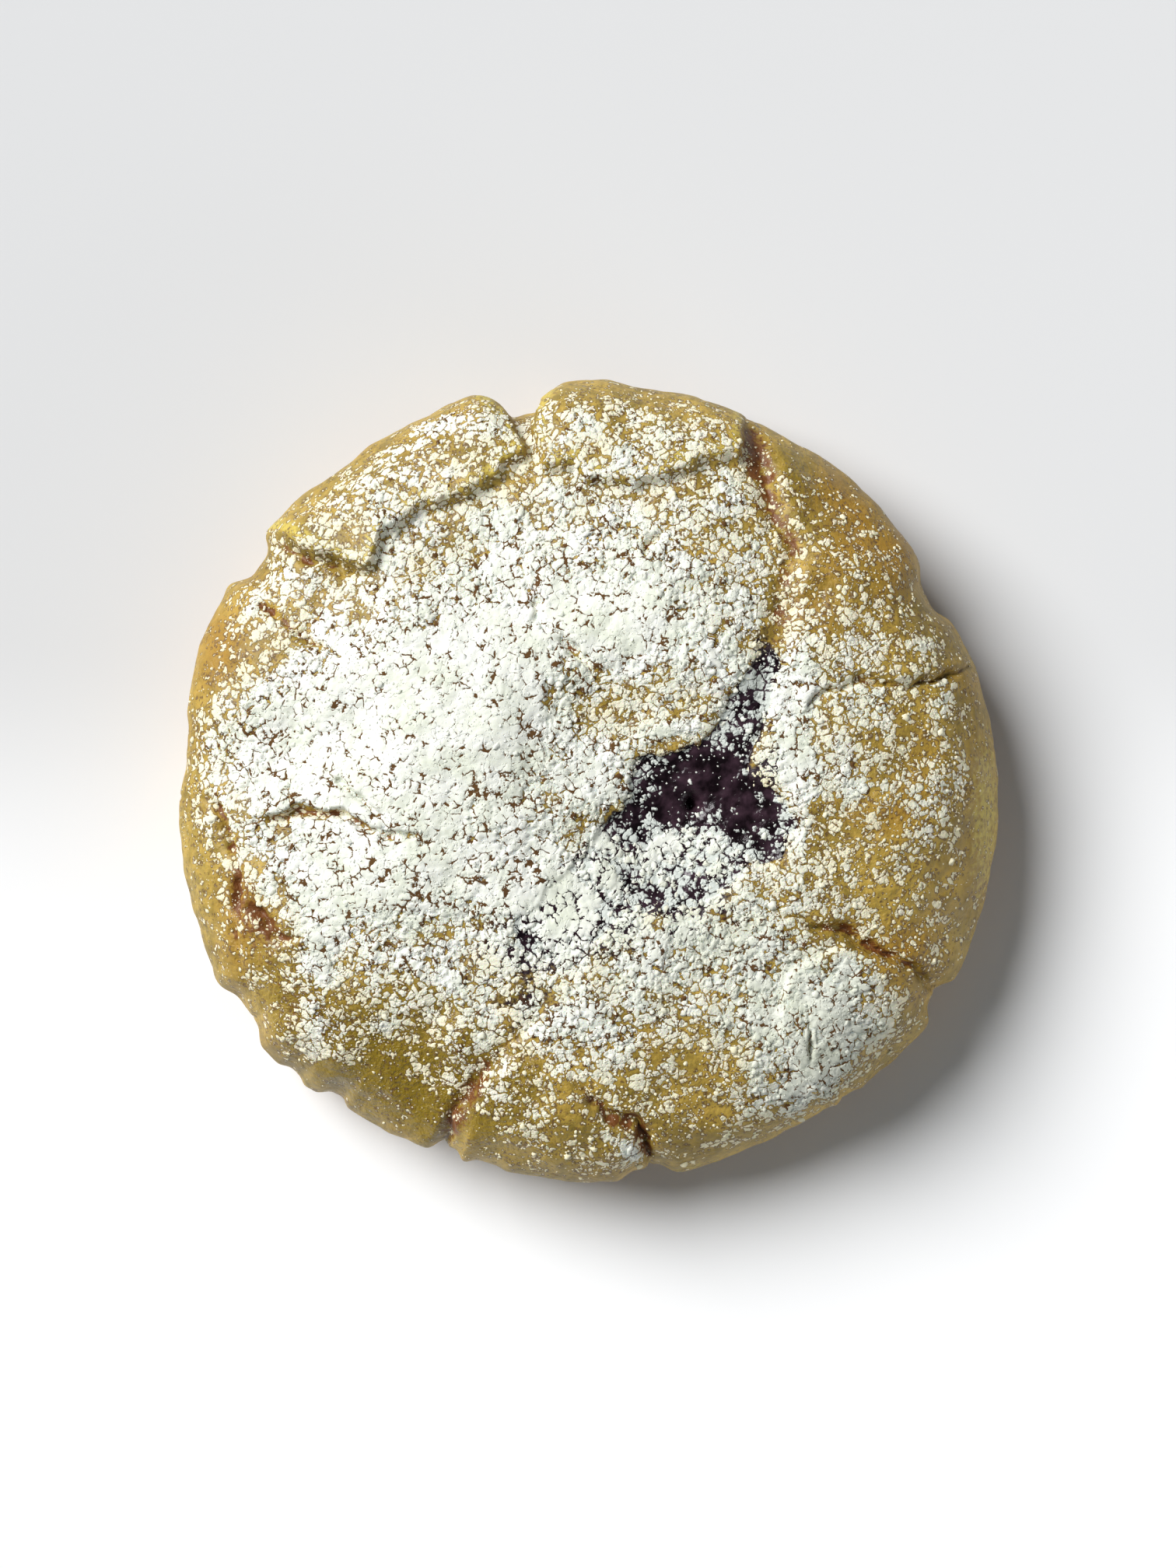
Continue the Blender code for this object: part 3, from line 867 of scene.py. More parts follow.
    def surface(self, share: Array, theta: Array) -> tuple[Array, Array, Array, Array]:
        """The crust's points.

        Args:
            share: How far along the side view, from 0 at the top's middle to 1 at the base's edge.
            theta: The direction from the middle.

        Returns:
            Points and outward directions in mm, depth in a crack and closeness to a broken edge.
        """
        radius, level, outward, upward = self.meridian(share)
        open_rim = radius**self.notch_draw_in * smooth(self.notch_low, self.notch_high, level)
        reach = radius * self.outline_radius(theta) - open_rim * self.notch_depth(theta)
        heading = np.column_stack([np.cos(theta), np.sin(theta)])
        points = np.column_stack([heading * reach[:, None], level])
        normal = np.column_stack([heading * outward[:, None], upward])
        out, in_crack, at_break = self.relief(points)
        points += normal * (out * smooth(self.relief_low, self.relief_high, level))[:, None]
        points[:, 2] = np.maximum(points[:, 2], 0.0)
        return points, normal, in_crack, at_break


@dataclass(frozen=True)
class SugarCover:
    """How thickly sifted sugar lies on each part of the cookie, from 0, none, to about 1, a closed
    blanket: a common cover, thicker and thinner patches, random drifts and a lack near the rim."""

    common: float = 0.62
    rim_width: float = 5.0
    rim_lack: float = 0.48
    steep: float = 0.1
    flat: float = 0.6
    even_above: float = 1.3
    least_patchy: float = 0.35
    # The big drift lies left of the middle, and smaller ones lie round it.
    thick: tuple[Patch, ...] = (
        Patch(-17.0, 7.0, 17.0, 11.0, 20.0, 0.60),
        Patch(-32.0, 6.0, 8.0, 8.0, 0.0, 0.14),
        Patch(-3.0, -11.0, 20.0, 7.0, -5.0, 0.30),
        Patch(3.0, 17.5, 13.0, 7.0, -5.0, 0.30),
        Patch(-2.0, 28.0, 12.0, 4.0, 0.0, 0.14),
        Patch(6.0, 35.0, 3.0, 2.5, 0.0, 0.25),
        Patch(-15.0, 40.0, 7.0, 3.0, 25.0, 0.30),
        Patch(26.0, -27.0, 9.0, 8.0, -40.0, 0.31),
        Patch(24.0, -36.0, 6.0, 4.0, 35.0, 0.40),
        Patch(14.0, -19.0, 8.0, 6.0, 0.0, 0.15),
        Patch(-28.0, -12.0, 9.0, 8.0, 0.0, 0.25),
        Patch(-31.0, -25.0, 4.0, 7.0, 0.0, 0.15),
        Patch(-1.0, -25.0, 4.0, 2.5, 0.0, 0.20),
        Patch(22.0, 6.0, 3.0, 7.0, 0.0, 0.35),
        Patch(2.0, 0.5, 4.0, 3.5, 0.0, 0.25),
        Patch(31.0, 2.0, 7.0, 4.0, 0.0, 0.01),
        Patch(-25.0, 31.0, 14.0, 5.0, 35.0, 0.03),
        Patch(6.0, -38.0, 4.0, 4.0, 0.0, 0.16),
        Patch(10.0, -33.0, 4.0, 3.0, 0.0, 0.12),
        Patch(20.0, 26.0, 2.5, 6.0, 0.0, 0.14),
        Patch(-18.0, 41.0, 5.0, 3.0, 30.0, 0.12),
        Patch(24.0, 1.0, 3.0, 5.0, 0.0, 0.14),
        Patch(-3.0, -14.5, 6.0, 4.0, 35.0, 0.18),
        Patch(4.0, -27.0, 10.0, 3.0, 0.0, 0.10),
        Patch(14.0, 41.0, 4.0, 3.0, -20.0, 0.12),
        Patch(39.5, 10.0, 2.5, 2.5, 0.0, 0.20),
        Patch(0.0, -30.0, 4.0, 2.5, 0.0, 0.14),
        Patch(-40.5, -15.0, 2.5, 4.0, 0.0, 0.18),
        Patch(10.0, -5.5, 5.0, 2.5, 0.0, 0.26),
        Patch(20.5, -1.0, 2.5, 4.0, 0.0, 0.10),
        Patch(-38.0, 20.0, 4.0, 2.5, 0.0, 0.13),
        Patch(32.0, -20.0, 4.0, 2.5, -35.0, 0.14),
        Patch(-10.0, -35.0, 2.5, 2.5, 0.0, 0.12),
        Patch(5.0, -40.0, 2.5, 2.5, 0.0, 0.24),
        Patch(-15.0, -20.0, 3.0, 3.0, 0.0, 0.12),
        Patch(-17.0, 40.5, 5.0, 2.5, 20.0, 0.13),
        Patch(15.0, 40.5, 3.0, 2.5, 0.0, 0.12),
        Patch(12.0, 30.0, 4.0, 2.5, 0.0, 0.10),
        Patch(28.0, 30.0, 4.0, 2.5, -45.0, 0.11),
        Patch(8.5, 5.6, 4.0, 1.2, 15.0, 0.35),
        Patch(5.0, -40.5, 2.0, 2.0, 0.0, 0.24),
        Patch(-17.5, 40.5, 4.0, 2.0, 20.0, 0.16),
        Patch(30.0, -20.0, 3.0, 2.5, 0.0, 0.15),
        Patch(30.0, 10.0, 3.0, 3.0, 0.0, 0.14),
    )
    # Bare and thinly dusted places: the open filling, the rim at the right and the buttery lower left.
    thin: tuple[Patch, ...] = (
        Patch(36.0, -13.0, 7.0, 11.0, 0.0, -0.16),
        Patch(31.0, -11.0, 4.0, 7.0, 10.0, -0.24),
        Patch(36.0, 9.0, 5.0, 8.0, 0.0, -0.10),
        Patch(29.0, 28.0, 16.0, 5.0, -48.0, -0.24),
        Patch(22.0, 27.0, 4.0, 8.0, 0.0, -0.20),
        Patch(0.0, 34.5, 12.0, 2.6, 0.0, -0.14),
        Patch(-27.0, 26.0, 4.0, 3.0, 20.0, -0.16),
        Patch(-35.5, 15.0, 3.5, 4.0, 0.0, -0.28),
        Patch(-2.5, 14.0, 4.0, 3.0, 0.0, -0.15),
        Patch(-21.0, -36.0, 8.0, 6.0, -10.0, -0.42),
        Patch(-22.0, -27.0, 6.0, 4.0, -10.0, -0.14),
        Patch(2.0, -37.0, 17.0, 5.5, 0.0, -0.30),
        Patch(12.0, -30.0, 6.0, 4.0, 0.0, -0.26),
        Patch(-41.0, 15.0, 4.0, 7.0, 0.0, -0.10),
        Patch(-41.0, -14.0, 4.0, 12.0, 15.0, -0.22),
        Patch(-35.5, -16.0, 3.5, 6.0, 15.0, -0.30),
        Patch(2.0, 8.5, 6.0, 3.5, 0.0, -0.28),
        Patch(13.0, 0.2, 5.6, 3.4, -10.0, -0.86),
        Patch(6.3, -3.6, 4.5, 1.7, 12.0, -0.55),
        Patch(18.0, -3.6, 3.5, 2.5, -25.0, -0.32),
        Patch(19.3, 15.3, 1.5, 1.5, 0.0, -0.50),
        Patch(17.3, 8.0, 1.3, 3.0, -10.0, -0.15),
        Patch(43.5, -3.0, 2.5, 11.0, 0.0, -0.50),
        Patch(42.0, 8.0, 3.0, 5.0, 0.0, -0.12),
        Patch(30.5, -5.5, 3.5, 3.0, 0.0, -0.22),
        Patch(-40.5, -10.0, 3.0, 4.0, 0.0, -0.14),
        Patch(-36.5, -23.0, 4.0, 5.0, 0.0, -0.22),
        Patch(30.0, -18.5, 9.0, 1.5, -35.0, -0.35),
        Patch(-22.0, -35.5, 6.0, 4.0, -15.0, -0.20),
        Patch(-13.0, -40.0, 5.0, 3.0, 0.0, -0.20),
        Patch(42.0, -12.0, 3.5, 10.0, 0.0, -0.24),
        Patch(9.0, -39.0, 4.0, 3.5, 0.0, -0.20),
        Patch(4.0, -35.0, 4.0, 2.5, 0.0, -0.12),
        Patch(35.0, 20.0, 3.0, 3.0, 0.0, -0.18),
        Patch(35.0, 5.0, 3.0, 3.0, 0.0, -0.15),
        Patch(20.0, 35.0, 6.0, 2.5, 0.0, -0.14),
        Patch(-15.0, 35.0, 4.0, 2.5, 20.0, -0.16),
        Patch(7.0, -12.0, 8.0, 3.5, -15.0, -0.19),
        Patch(-6.0, -17.0, 9.0, 4.0, 10.0, -0.06),
        Patch(-25.0, -34.5, 4.0, 3.0, -35.0, -0.18),
        Patch(-16.0, -40.0, 4.0, 2.5, -10.0, -0.18),
        Patch(25.0, 20.0, 2.5, 2.5, 0.0, -0.16),
        Patch(24.0, 5.5, 5.0, 2.5, 0.0, -0.12),
        Patch(30.0, -5.0, 2.5, 2.5, 0.0, -0.12),
        Patch(10.0, -10.0, 3.0, 2.5, 0.0, -0.10),
        Patch(-40.0, 10.0, 2.5, 3.0, 0.0, -0.14),
        Patch(-40.5, -10.0, 2.5, 3.0, 0.0, -0.14),
        Patch(-40.0, -20.0, 2.5, 3.0, 0.0, -0.16),
        Patch(40.0, -18.0, 2.5, 3.0, 0.0, -0.14),
        Patch(-25.0, -25.0, 3.0, 3.0, 0.0, -0.14),
        Patch(-20.0, -30.0, 3.0, 2.5, 0.0, -0.13),
        Patch(-7.5, -30.0, 4.0, 2.0, 0.0, -0.12),
        Patch(18.0, 35.5, 4.0, 2.5, 0.0, -0.13),
        Patch(-15.0, 35.0, 3.0, 2.5, 0.0, -0.13),
        Patch(-23.0, -36.0, 5.0, 3.0, -30.0, -0.17),
        Patch(-14.0, -40.0, 4.0, 3.5, 0.0, -0.20),
        Patch(35.0, -25.0, 2.5, 2.5, 0.0, -0.13),
        Patch(-18.0, -39.5, 8.0, 3.0, -25.0, -0.40),
        Patch(-27.5, -34.0, 7.0, 1.8, -32.0, -0.55),
        Patch(-33.5, -24.5, 4.0, 4.0, 0.0, -0.22),
        Patch(16.5, -5.8, 3.0, 1.2, -10.0, -0.35),
        Patch(40.0, -10.0, 2.5, 3.0, 0.0, -0.18),
        Patch(-41.0, -12.0, 2.2, 7.0, 8.0, -0.18),
        Patch(35.0, 22.0, 2.5, 4.0, -30.0, -0.16),
        Patch(10.5, -40.0, 2.2, 2.0, 0.0, -0.18),
        Patch(-30.0, -3.0, 5.0, 5.0, 0.0, -0.08),
    )
    # Painted shade: the sugar is darkened here, on the right and lower right, where the top turns away from
    # the light.
    painted_shade: tuple[Patch, ...] = (
        Patch(25.0, -29.0, 11.0, 10.0, -40.0, 0.65),
        Patch(12.0, -15.0, 10.0, 7.0, -15.0, 0.35),
        Patch(31.0, 0.0, 6.0, 6.0, 0.0, 0.50),
        Patch(34.0, -12.0, 6.0, 8.0, 0.0, 0.20),
    )
    drifting: tuple[Uneven, ...] = (
        Uneven(5.5, 0.20, 62.1),
        Uneven(2.6, 0.36, 71.7),
        Uneven(1.1, 0.10, 88.3),
    )

    def painted_shade_at(self, points: Array) -> Array:
        """How strongly painted shade darkens the sugar at points in mm, from 0 to 1."""
        return np.clip(sum_patches(self.painted_shade, points[:, 0], points[:, 1]), 0.0, 1.0)

    def at(self, points: Array, upward: Array, form: CrustForm) -> Array:
        """The cover at points of the crust.

        Args:
            points: The points in mm, one a row.
            upward: How far each point faces up, from 0 to 1.
            form: The crust's form.

        Returns:
            The cover for each point.
        """
        x, y = points[:, 0], points[:, 1]
        from_rim = form.outline_radius(np.arctan2(y, x)) - np.hypot(x, y)
        cover = self.common + sum_patches(self.thick + self.thin, x, y)
        patchy = np.clip(self.even_above - cover, self.least_patchy, 1.0)
        for part in self.drifting:
            cover += patchy * part.at(points)
        cover -= self.rim_lack * (1.0 - smooth(0.0, self.rim_width, from_rim))
        return cover * smooth(self.steep, self.flat, upward)


@dataclass(frozen=True)
class CherrySeep:
    """Where dark juice has soaked out of the filling, in mm."""

    reach: float = 1.0
    break_length: float = 3.0
    break_place: float = 9.9
    break_span: Span = (-0.5, -0.1)
    patches: tuple[Patch, ...] = (
        Patch(-4.0, -16.5, 11.0, 5.0, 10.0, 0.9),
        Patch(7.0, -12.5, 9.0, 4.0, -20.0, 1.3),
        Patch(-8.0, -25.0, 5.0, 2.5, 20.0, 0.6),
        Patch(18.5, 12.0, 1.8, 6.0, 0.0, 0.9),
        Patch(17.8, 37.0, 2.4, 4.5, 8.0, 0.34),
        Patch(20.5, 26.0, 1.6, 6.0, 0.0, 0.28),
        Patch(19.8, 1.4, 1.8, 2.6, -20.0, 1.2),
        Patch(-12.5, -33.0, 1.5, 5.0, -25.0, 0.35),
    )

    def at(self, x: Array, y: Array, pocket: PocketForm) -> Array:
        """How strongly points are stained.

        Args:
            x: The points' x in mm.
            y: The points' y in mm.
            pocket: The pocket that the juice comes from.

        Returns:
            The stain, from 0 to 1.
        """
        flat = on_plan(x, y)
        close = np.exp(-np.maximum(pocket.distance(x, y), 0.0) / self.reach)
        broken = smooth(*self.break_span, waves(flat, self.break_length, self.break_place))
        return np.clip(close + sum_patches(self.patches, x, y) * broken, 0.0, 1.0)


@dataclass(frozen=True)
class SiftedFilm:
    """A film of sifted sugar in a finish: curdled flecks that grow together where the sugar lies thick,
    parted by fine cracks. It reads two point attributes: cover, about the share of the ground that is
    covered, and painted shade, how much the sugar is darkened where the top turns away from the light."""

    lace_mm: float = 1.6
    lace_roughness: float = 0.57
    warp_mm: float = 0.5
    warp_by_mm: float = 0.22
    fleck_mm: float = 0.55
    roundness: float = 0.36
    pack_mm: float = 1.2
    pack_crack: float = 0.2
    pack_width: float = 0.12
    bare_level: float = 0.50
    full_level: float = 0.09
    edge: float = 0.03
    rise: float = 0.16
    shadow_fringe: float = 0.15
    white: str = "#F9FAEF"
    shade: str = "#EBEEDD"
    cream: str = "#F9EFCB"
    cream_level: float = 0.35
    white_level: float = 0.9
    cloud_mm: float = 3.5
    cloud_span: Span = (0.4, 0.65)
    # Painted shade: the grey-green that the sugar is darkened towards where the top turns away from the
    # light.
    shade_colour: str = "#A6AA90"
    shade_share: float = 0.55

    def colour(self, finish: Finish) -> Socket:
        """Adds the sugar's colour: white where it lies thick, creamy where a thin dusting has drawn in
        butter, and darker with painted shade where the top turns away from the light.

        Args:
            finish: The finish that takes it.

        Returns:
            The colour.
        """
        share = finish.ramp(finish.noise(self.cloud_mm), self.cloud_span)
        dry = finish.blend(share, self.white, self.shade)
        thick = finish.ramp(finish.number("cover"), (self.cream_level, self.white_level), curve="SMOOTHSTEP")
        lying = finish.blend(thick, self.cream, dry)
        # Painted shade: darkens the sugar where the top turns away from the light.
        shade_amount = finish.reckon("MULTIPLY", finish.number("painted_shade"), self.shade_share)
        return finish.blend(shade_amount, lying, self.shade_colour)

    def add(self, finish: Finish) -> tuple[Socket, Socket, Socket]:
        """Adds the film to a finish.

        Args:
            finish: The finish that takes it.

        Returns:
            Where the film lies, how high it stands there, and how near bare ground is to a fleck, all
            from 0 to 1.
        """
        tree = finish.tree
        stir = finish.noise(self.warp_mm, detail=2.0, output="Color")
        level = add_node(tree, "ShaderNodeVectorMath", {1: (0.5, 0.5, 0.5)}, {0: stir}, operation="SUBTRACT")
        pushed = add_node(
            tree,
            "ShaderNodeVectorMath",
            {1: (2.0 * self.warp_by_mm * MM,) * 3},
            {0: level.outputs[0], 2: finish.place_on},
            operation="MULTIPLY_ADD",
        ).outputs[0]
        lace = finish.noise(self.lace_mm, roughness=self.lace_roughness)
        flecks, packs = (
            add_node(
                tree,
                "ShaderNodeTexVoronoi",
                {"Scale": per_metre(size_mm)},
                {"Vector": pushed},
                feature=feature,
            ).outputs["Distance"]
            for size_mm, feature in ((self.fleck_mm, "F1"), (self.pack_mm, "DISTANCE_TO_EDGE"))
        )
        rounded = finish.reckon("MULTIPLY_ADD", flecks, -self.roundness, lace)
        parted = finish.ramp(packs, (0.0, self.pack_width), (-self.pack_crack, 0.0), "SMOOTHSTEP")
        needed = finish.ramp(
            finish.number("cover"), (0.0, 1.0), (self.bare_level, self.full_level), clamp=False
        )
        above = finish.reckon("SUBTRACT", finish.reckon("ADD", rounded, parted), needed)
        # The last span marks bare ground close to a fleck, where the crust takes a ring of painted shadow.
        spans = ((-self.edge, self.edge), (-self.edge, self.rise), (-self.shadow_fringe, -self.edge))
        film, high, near = (finish.ramp(above, span, curve="SMOOTHSTEP") for span in spans)
        return film, high, near


@dataclass(frozen=True)
class BakedCrust:
    """Butter shortcrust, baked until golden: waxy and slightly translucent, browner in its cracks, where
    the brown also paints the shade of cracks too narrow for the mesh, and with a film of the finest
    sugar that takes the shine off where it is dusted."""

    gold: str = "#C3A349"
    deep_gold: str = "#917A31"
    toasted: str = "#AB7F26"
    buttered: str = "#917820"
    # Pale crumb of broken edges, also used as painted light on the right and lower right rims.
    crumb_and_light: str = "#D0BA54"
    # Brown for cracks: partly browner crust, partly painted shade in cracks too narrow to cast it.
    crack: str = "#7A4A20"
    stained: str = "#2A1820"
    # Partly damp crust, partly painted shadow: the darker brown ring of bare ground round each fleck.
    damp_and_shadow: str = "#66492A"
    damp_and_shadow_share: float = 0.85
    blotch_mm: float = 7.0
    blotch_span: Span = (0.8, 1.2)
    mottle_mm: float = 1.1
    mottle_high: float = 0.5
    mottle_strength: float = 0.5
    pore_mm: float = 0.45
    pore_high: float = 0.3
    pore_strength: Span = (0.45, 1.0)
    film_high: float = 0.2
    film_strength: float = 0.55
    fray_mm: float = 0.6
    fray: float = 1.2
    fray_span: Span = (0.3, 0.75)
    crust_roughness: Span = (0.5, 0.18)
    film_roughness: float = 0.9
    glaze: float = 0.5
    film: SiftedFilm = field(default_factory=SiftedFilm)

    def material(self) -> bpy.types.Material:
        """Builds the crust's material.

        Returns:
            The material, which reads the point attributes crack, stain, butter, toast and cover, the crumb
            that also paints light on the rims, and the painted shade.
        """
        finish = Finish("baked_golden_crust")
        mottle = finish.noise(self.mottle_mm)
        both = finish.reckon("ADD", finish.noise(self.blotch_mm, detail=3.0), mottle)
        colour = finish.blend(finish.ramp(both, self.blotch_span), self.gold, self.deep_gold)
        fibre = finish.noise(self.fray_mm, detail=3.0)
        film, high, near = self.film.add(finish)
        amounts = {name: finish.number(name) for name in ("toast", "butter", "crumb_and_light", "crack", "stain")}
        low, top = (end + 0.5 * self.fray for end in self.fray_span)
        for name in ("crumb_and_light", "crack", "stain"):
            frayed = finish.reckon("MULTIPLY_ADD", fibre, self.fray, amounts[name])
            amounts[name] = finish.ramp(frayed, (low, top), curve="SMOOTHSTEP")
        for amount, tint in (
            (amounts["toast"], self.toasted),
            (amounts["butter"], self.buttered),
            (amounts["crumb_and_light"], self.crumb_and_light),
            # Painted shadow, with damp, in the ring round each fleck.
            (finish.reckon("MULTIPLY", near, self.damp_and_shadow_share), self.damp_and_shadow),
            (amounts["crack"], self.crack),
            (amounts["stain"], self.stained),
        ):
            colour = finish.blend(amount, colour, tint)
        blistered = finish.ramp(amounts["butter"], (0.0, 1.0), self.pore_strength)
        bump = finish.bump(finish.noise(self.pore_mm), self.pore_high, blistered)
        bump = finish.bump(mottle, self.mottle_high, self.mottle_strength, bump)
        bump = finish.bump(high, self.film_high, self.film_strength, bump)
        dull = finish.ramp(amounts["butter"], (0.0, 1.0), self.crust_roughness)
        glazed = finish.reckon("MULTIPLY", amounts["butter"], self.glaze)
        links = {
            "Base Color": finish.blend(film, colour, self.film.colour(finish)),
            "Roughness": finish.covered(film, dull, self.film_roughness),
            "Normal": bump,
            "Coat Weight": finish.covered(film, glazed, 0.0),
        }
        return finish.done(links, {
            "Coat Roughness": 0.2,
            "IOR": 1.45,
            "Metallic": 0.0,
            "Subsurface Weight": 0.2,
            "Subsurface Radius": (1.0, 0.55, 0.2),
            "Subsurface Scale": 1.2 * MM,
        })


@dataclass(frozen=True)
class SiftedSugar:
    """Powdered sugar: a matte, faintly cool white, as light goes in and out of its packed crystals."""

    # Brown in the caked sheet's painted gaps: partly damp crust, partly painted shadow down in them.
    gap: str = "#66492A"
    stained: str = "#2A1820"
    crystal_mm: float = 0.28
    crystal_roughness: float = 0.65
    crystal_high: float = 0.08
    crystal_strength: float = 0.3
    film_high: float = 0.16
    film_strength: float = 0.5
    film: SiftedFilm = field(default_factory=SiftedFilm)

    def material(self, name: str, caked: bool) -> bpy.types.Material:
        """Builds the sugar's material.

        Args:
            name: The material's name.
            caked: Whether it lies as a sheet, with fine gaps that show the crust, painted a
                brown that is partly damp crust and partly painted shadow.

        Returns:
            The material, which reads the point attributes cover, the painted shade and, where it is caked,
            stain.
        """
        finish = Finish(name)
        colour = self.film.colour(finish)
        crystals = finish.noise(self.crystal_mm, roughness=self.crystal_roughness)
        bump = finish.bump(crystals, self.crystal_high, self.crystal_strength)
        if caked:
            film, high, _ = self.film.add(finish)
            # Painted gaps: partly damp crust, partly painted shadow.
            under = finish.blend(finish.number("stain"), self.gap, self.stained)
            colour = finish.blend(film, under, colour)
            bump = finish.bump(high, self.film_high, self.film_strength, bump)
        return finish.done({"Base Color": colour, "Normal": bump}, {
            "Roughness": 0.95,
            "IOR": 1.45,
            "Metallic": 0.0,
            "Specular IOR Level": 0.15,
            "Subsurface Weight": 0.25,
            "Subsurface Radius": (1.0, 0.95, 0.85),
            "Subsurface Scale": 0.3 * MM,
        })


@dataclass(frozen=True)
class CherryGel:
    """Cherry filling, cooked until it gels: near black and wet, purple where light comes through."""

    dark: str = "#12070B"
    light: str = "#432F39"
    dust: str = "#DCE1D9"
    blotch_mm: float = 1.8
    blotch_span: Span = (0.38, 0.68)
    fold_mm: float = 1.7
    fold_high: float = 0.6
    fold_strength: float = 0.7
    skin_mm: float = 0.5
    skin_high: float = 0.2
    skin_strength: float = 0.4
    film_high: float = 0.2
    film_strength: float = 0.8
    wet_and_dusted: Span = (0.2, 0.95)
    film: SiftedFilm = field(default_factory=SiftedFilm)

    def material(self) -> bpy.types.Material:
        """Builds the filling's material.

        Returns:
            The material, which reads the point attribute cover.
        """
        finish = Finish("cooked_cherry_gel")
        share = finish.ramp(finish.noise(self.blotch_mm, detail=3.0), self.blotch_span)
        colour = finish.blend(share, self.dark, self.light)
        bump = finish.bump(finish.noise(self.fold_mm, detail=2.0), self.fold_high, self.fold_strength)
        bump = finish.bump(finish.noise(self.skin_mm, detail=3.0), self.skin_high, self.skin_strength, bump)
        film, high, _ = self.film.add(finish)
        links = {
            "Base Color": finish.blend(film, colour, self.dust),
            "Normal": finish.bump(high, self.film_high, self.film_strength, bump),
            "Roughness": finish.ramp(film, (0.0, 1.0), self.wet_and_dusted),
        }
        return finish.done(links, {"IOR": 1.42, "Metallic": 0.0})


@dataclass
class Dough:
    """The cookie's body of baked dough, with its finish worked into the crust."""

    form: CrustForm
    cover: SugarCover
    seep: CherrySeep = field(default_factory=CherrySeep)
    rings: int = 155
    pocket_sink: float = 3.6
    pocket_wall: float = 0.5
    most_cover: float = 1.1
    buttered: tuple[Patch, ...] = (
        Patch(-19.0, -33.0, 12.0, 6.0, -25.0, 1.2),
        Patch(-12.0, -31.0, 6.0, 4.0, 0.0, 0.6),
        Patch(-20.0, -24.0, 5.0, 3.0, 0.0, 0.5),
        Patch(2.0, 8.0, 6.0, 3.5, 0.0, 0.35),
        Patch(-22.0, 26.0, 8.0, 2.0, 20.0, 0.3),
        Patch(23.0, 34.0, 2.5, 3.0, 0.0, 0.7),
        Patch(43.0, -6.0, 2.0, 9.0, 0.0, 0.2),
        Patch(39.0, 20.0, 2.0, 6.0, 30.0, 0.4),
        Patch(-32.0, -24.0, 4.0, 5.5, 25.0, 0.75),
    )
    butter_drift: Uneven = Uneven(4.0, 0.3, 14.1)
    butter_facing: Span = (0.25, 0.65)
    crack_lack: float = 0.5
    crack_seared: float = 1.5
    seared_length: float = 1.3
    seared_place: float = 77.7
    seared_span: Span = (-0.45, 0.25)
    foot: Span = (2.0, 11.0)
    foot_toasted: float = 0.8
    break_crumb: float = 0.7
    # Painted light: the right rim and the lower right rim are painted paler, as if more light fell there.
    pale: tuple[Patch, ...] = (
        Patch(43.8, -4.0, 2.8, 13.0, 0.0, 0.6),
        Patch(13.0, -43.0, 6.0, 2.0, 12.0, 0.5),
    )
    seared: tuple[Patch, ...] = (
        Patch(-37.5, -12.0, 2.0, 7.0, 10.0, 0.50),
        Patch(-34.0, -16.0, 2.5, 3.0, 45.0, 0.25),
        Patch(-31.5, -24.0, 3.0, 7.0, 25.0, 0.42),
        Patch(-13.0, -34.0, 1.8, 6.0, -25.0, 0.50),
        Patch(-21.0, -35.0, 6.0, 2.0, -30.0, 0.30),
        Patch(17.8, 36.0, 2.4, 6.0, 8.0, 0.55),
        Patch(22.0, 22.0, 2.0, 8.0, 0.0, 0.35),
        Patch(33.0, -17.0, 8.0, 2.0, -35.0, 0.30),
        Patch(26.0, 4.0, 4.0, 6.0, 0.0, 0.25),
        Patch(5.0, -36.0, 2.5, 5.0, 25.0, 0.35),
        Patch(0.0, 12.0, 7.0, 6.0, 0.0, 0.25),
        Patch(-8.0, 38.0, 2.0, 5.0, 0.0, 0.30),
        Patch(-34.0, 17.0, 4.0, 4.0, 0.0, 0.30),
    )
    toasted: tuple[Patch, ...] = (
        Patch(31.0, 27.0, 9.0, 4.0, -48.0, 0.9),
        Patch(25.0, 20.0, 3.0, 4.0, 0.0, 0.5),
        Patch(-40.0, 15.0, 4.0, 5.0, 0.0, 0.7),
        Patch(34.0, -2.0, 4.0, 5.0, 0.0, 0.5),
        Patch(35.0, -18.0, 5.0, 4.0, 0.0, 0.5),
        Patch(-38.0, -14.0, 3.0, 6.0, 0.0, 0.5),
        Patch(43.5, -4.0, 2.5, 12.0, 0.0, 0.45),
    )
    toast_drift: Uneven = Uneven(5.0, 0.4, 31.1)

    def build(self) -> bpy.types.Object:
        """Makes the dough, with a sunk floor under the filling and its finish's numbers.

        Returns:
            The dough's piece.
        """
        mesh, ring, theta = disc_grid(self.rings)
        points, _, in_crack, at_break = self.form.surface(ring, theta)
        x, y = points[:, 0], points[:, 1]
        pocket = self.form.pocket
        from_pocket = pocket.distance(x, y)
        points[:, 2] -= self.pocket_sink * smooth(self.pocket_wall, -self.pocket_wall, from_pocket)
        place(mesh, points)
        mesh.normal_update()
        upward = np.array([vertex.normal.z for vertex in mesh.verts])
        if upward.mean() < 0.0:
            bmesh.ops.reverse_faces(mesh, faces=mesh.faces)
            upward = -upward
        bmesh.ops.contextual_create(mesh, geom=[edge for edge in mesh.edges if edge.is_boundary])
        flat = on_plan(x, y)
        broken = smooth(*self.seared_span, waves(points, self.seared_length, self.seared_place))
        # Cracks take the crack brown, partly as browner crust and partly as painted shade in them.
        seared = self.crack_seared * in_crack * broken + sum_patches(self.seared, x, y)
        carry(mesh, "crack", np.clip(seared, 0.0, 1.0))
        above_foot = smooth(*self.foot, points[:, 2])
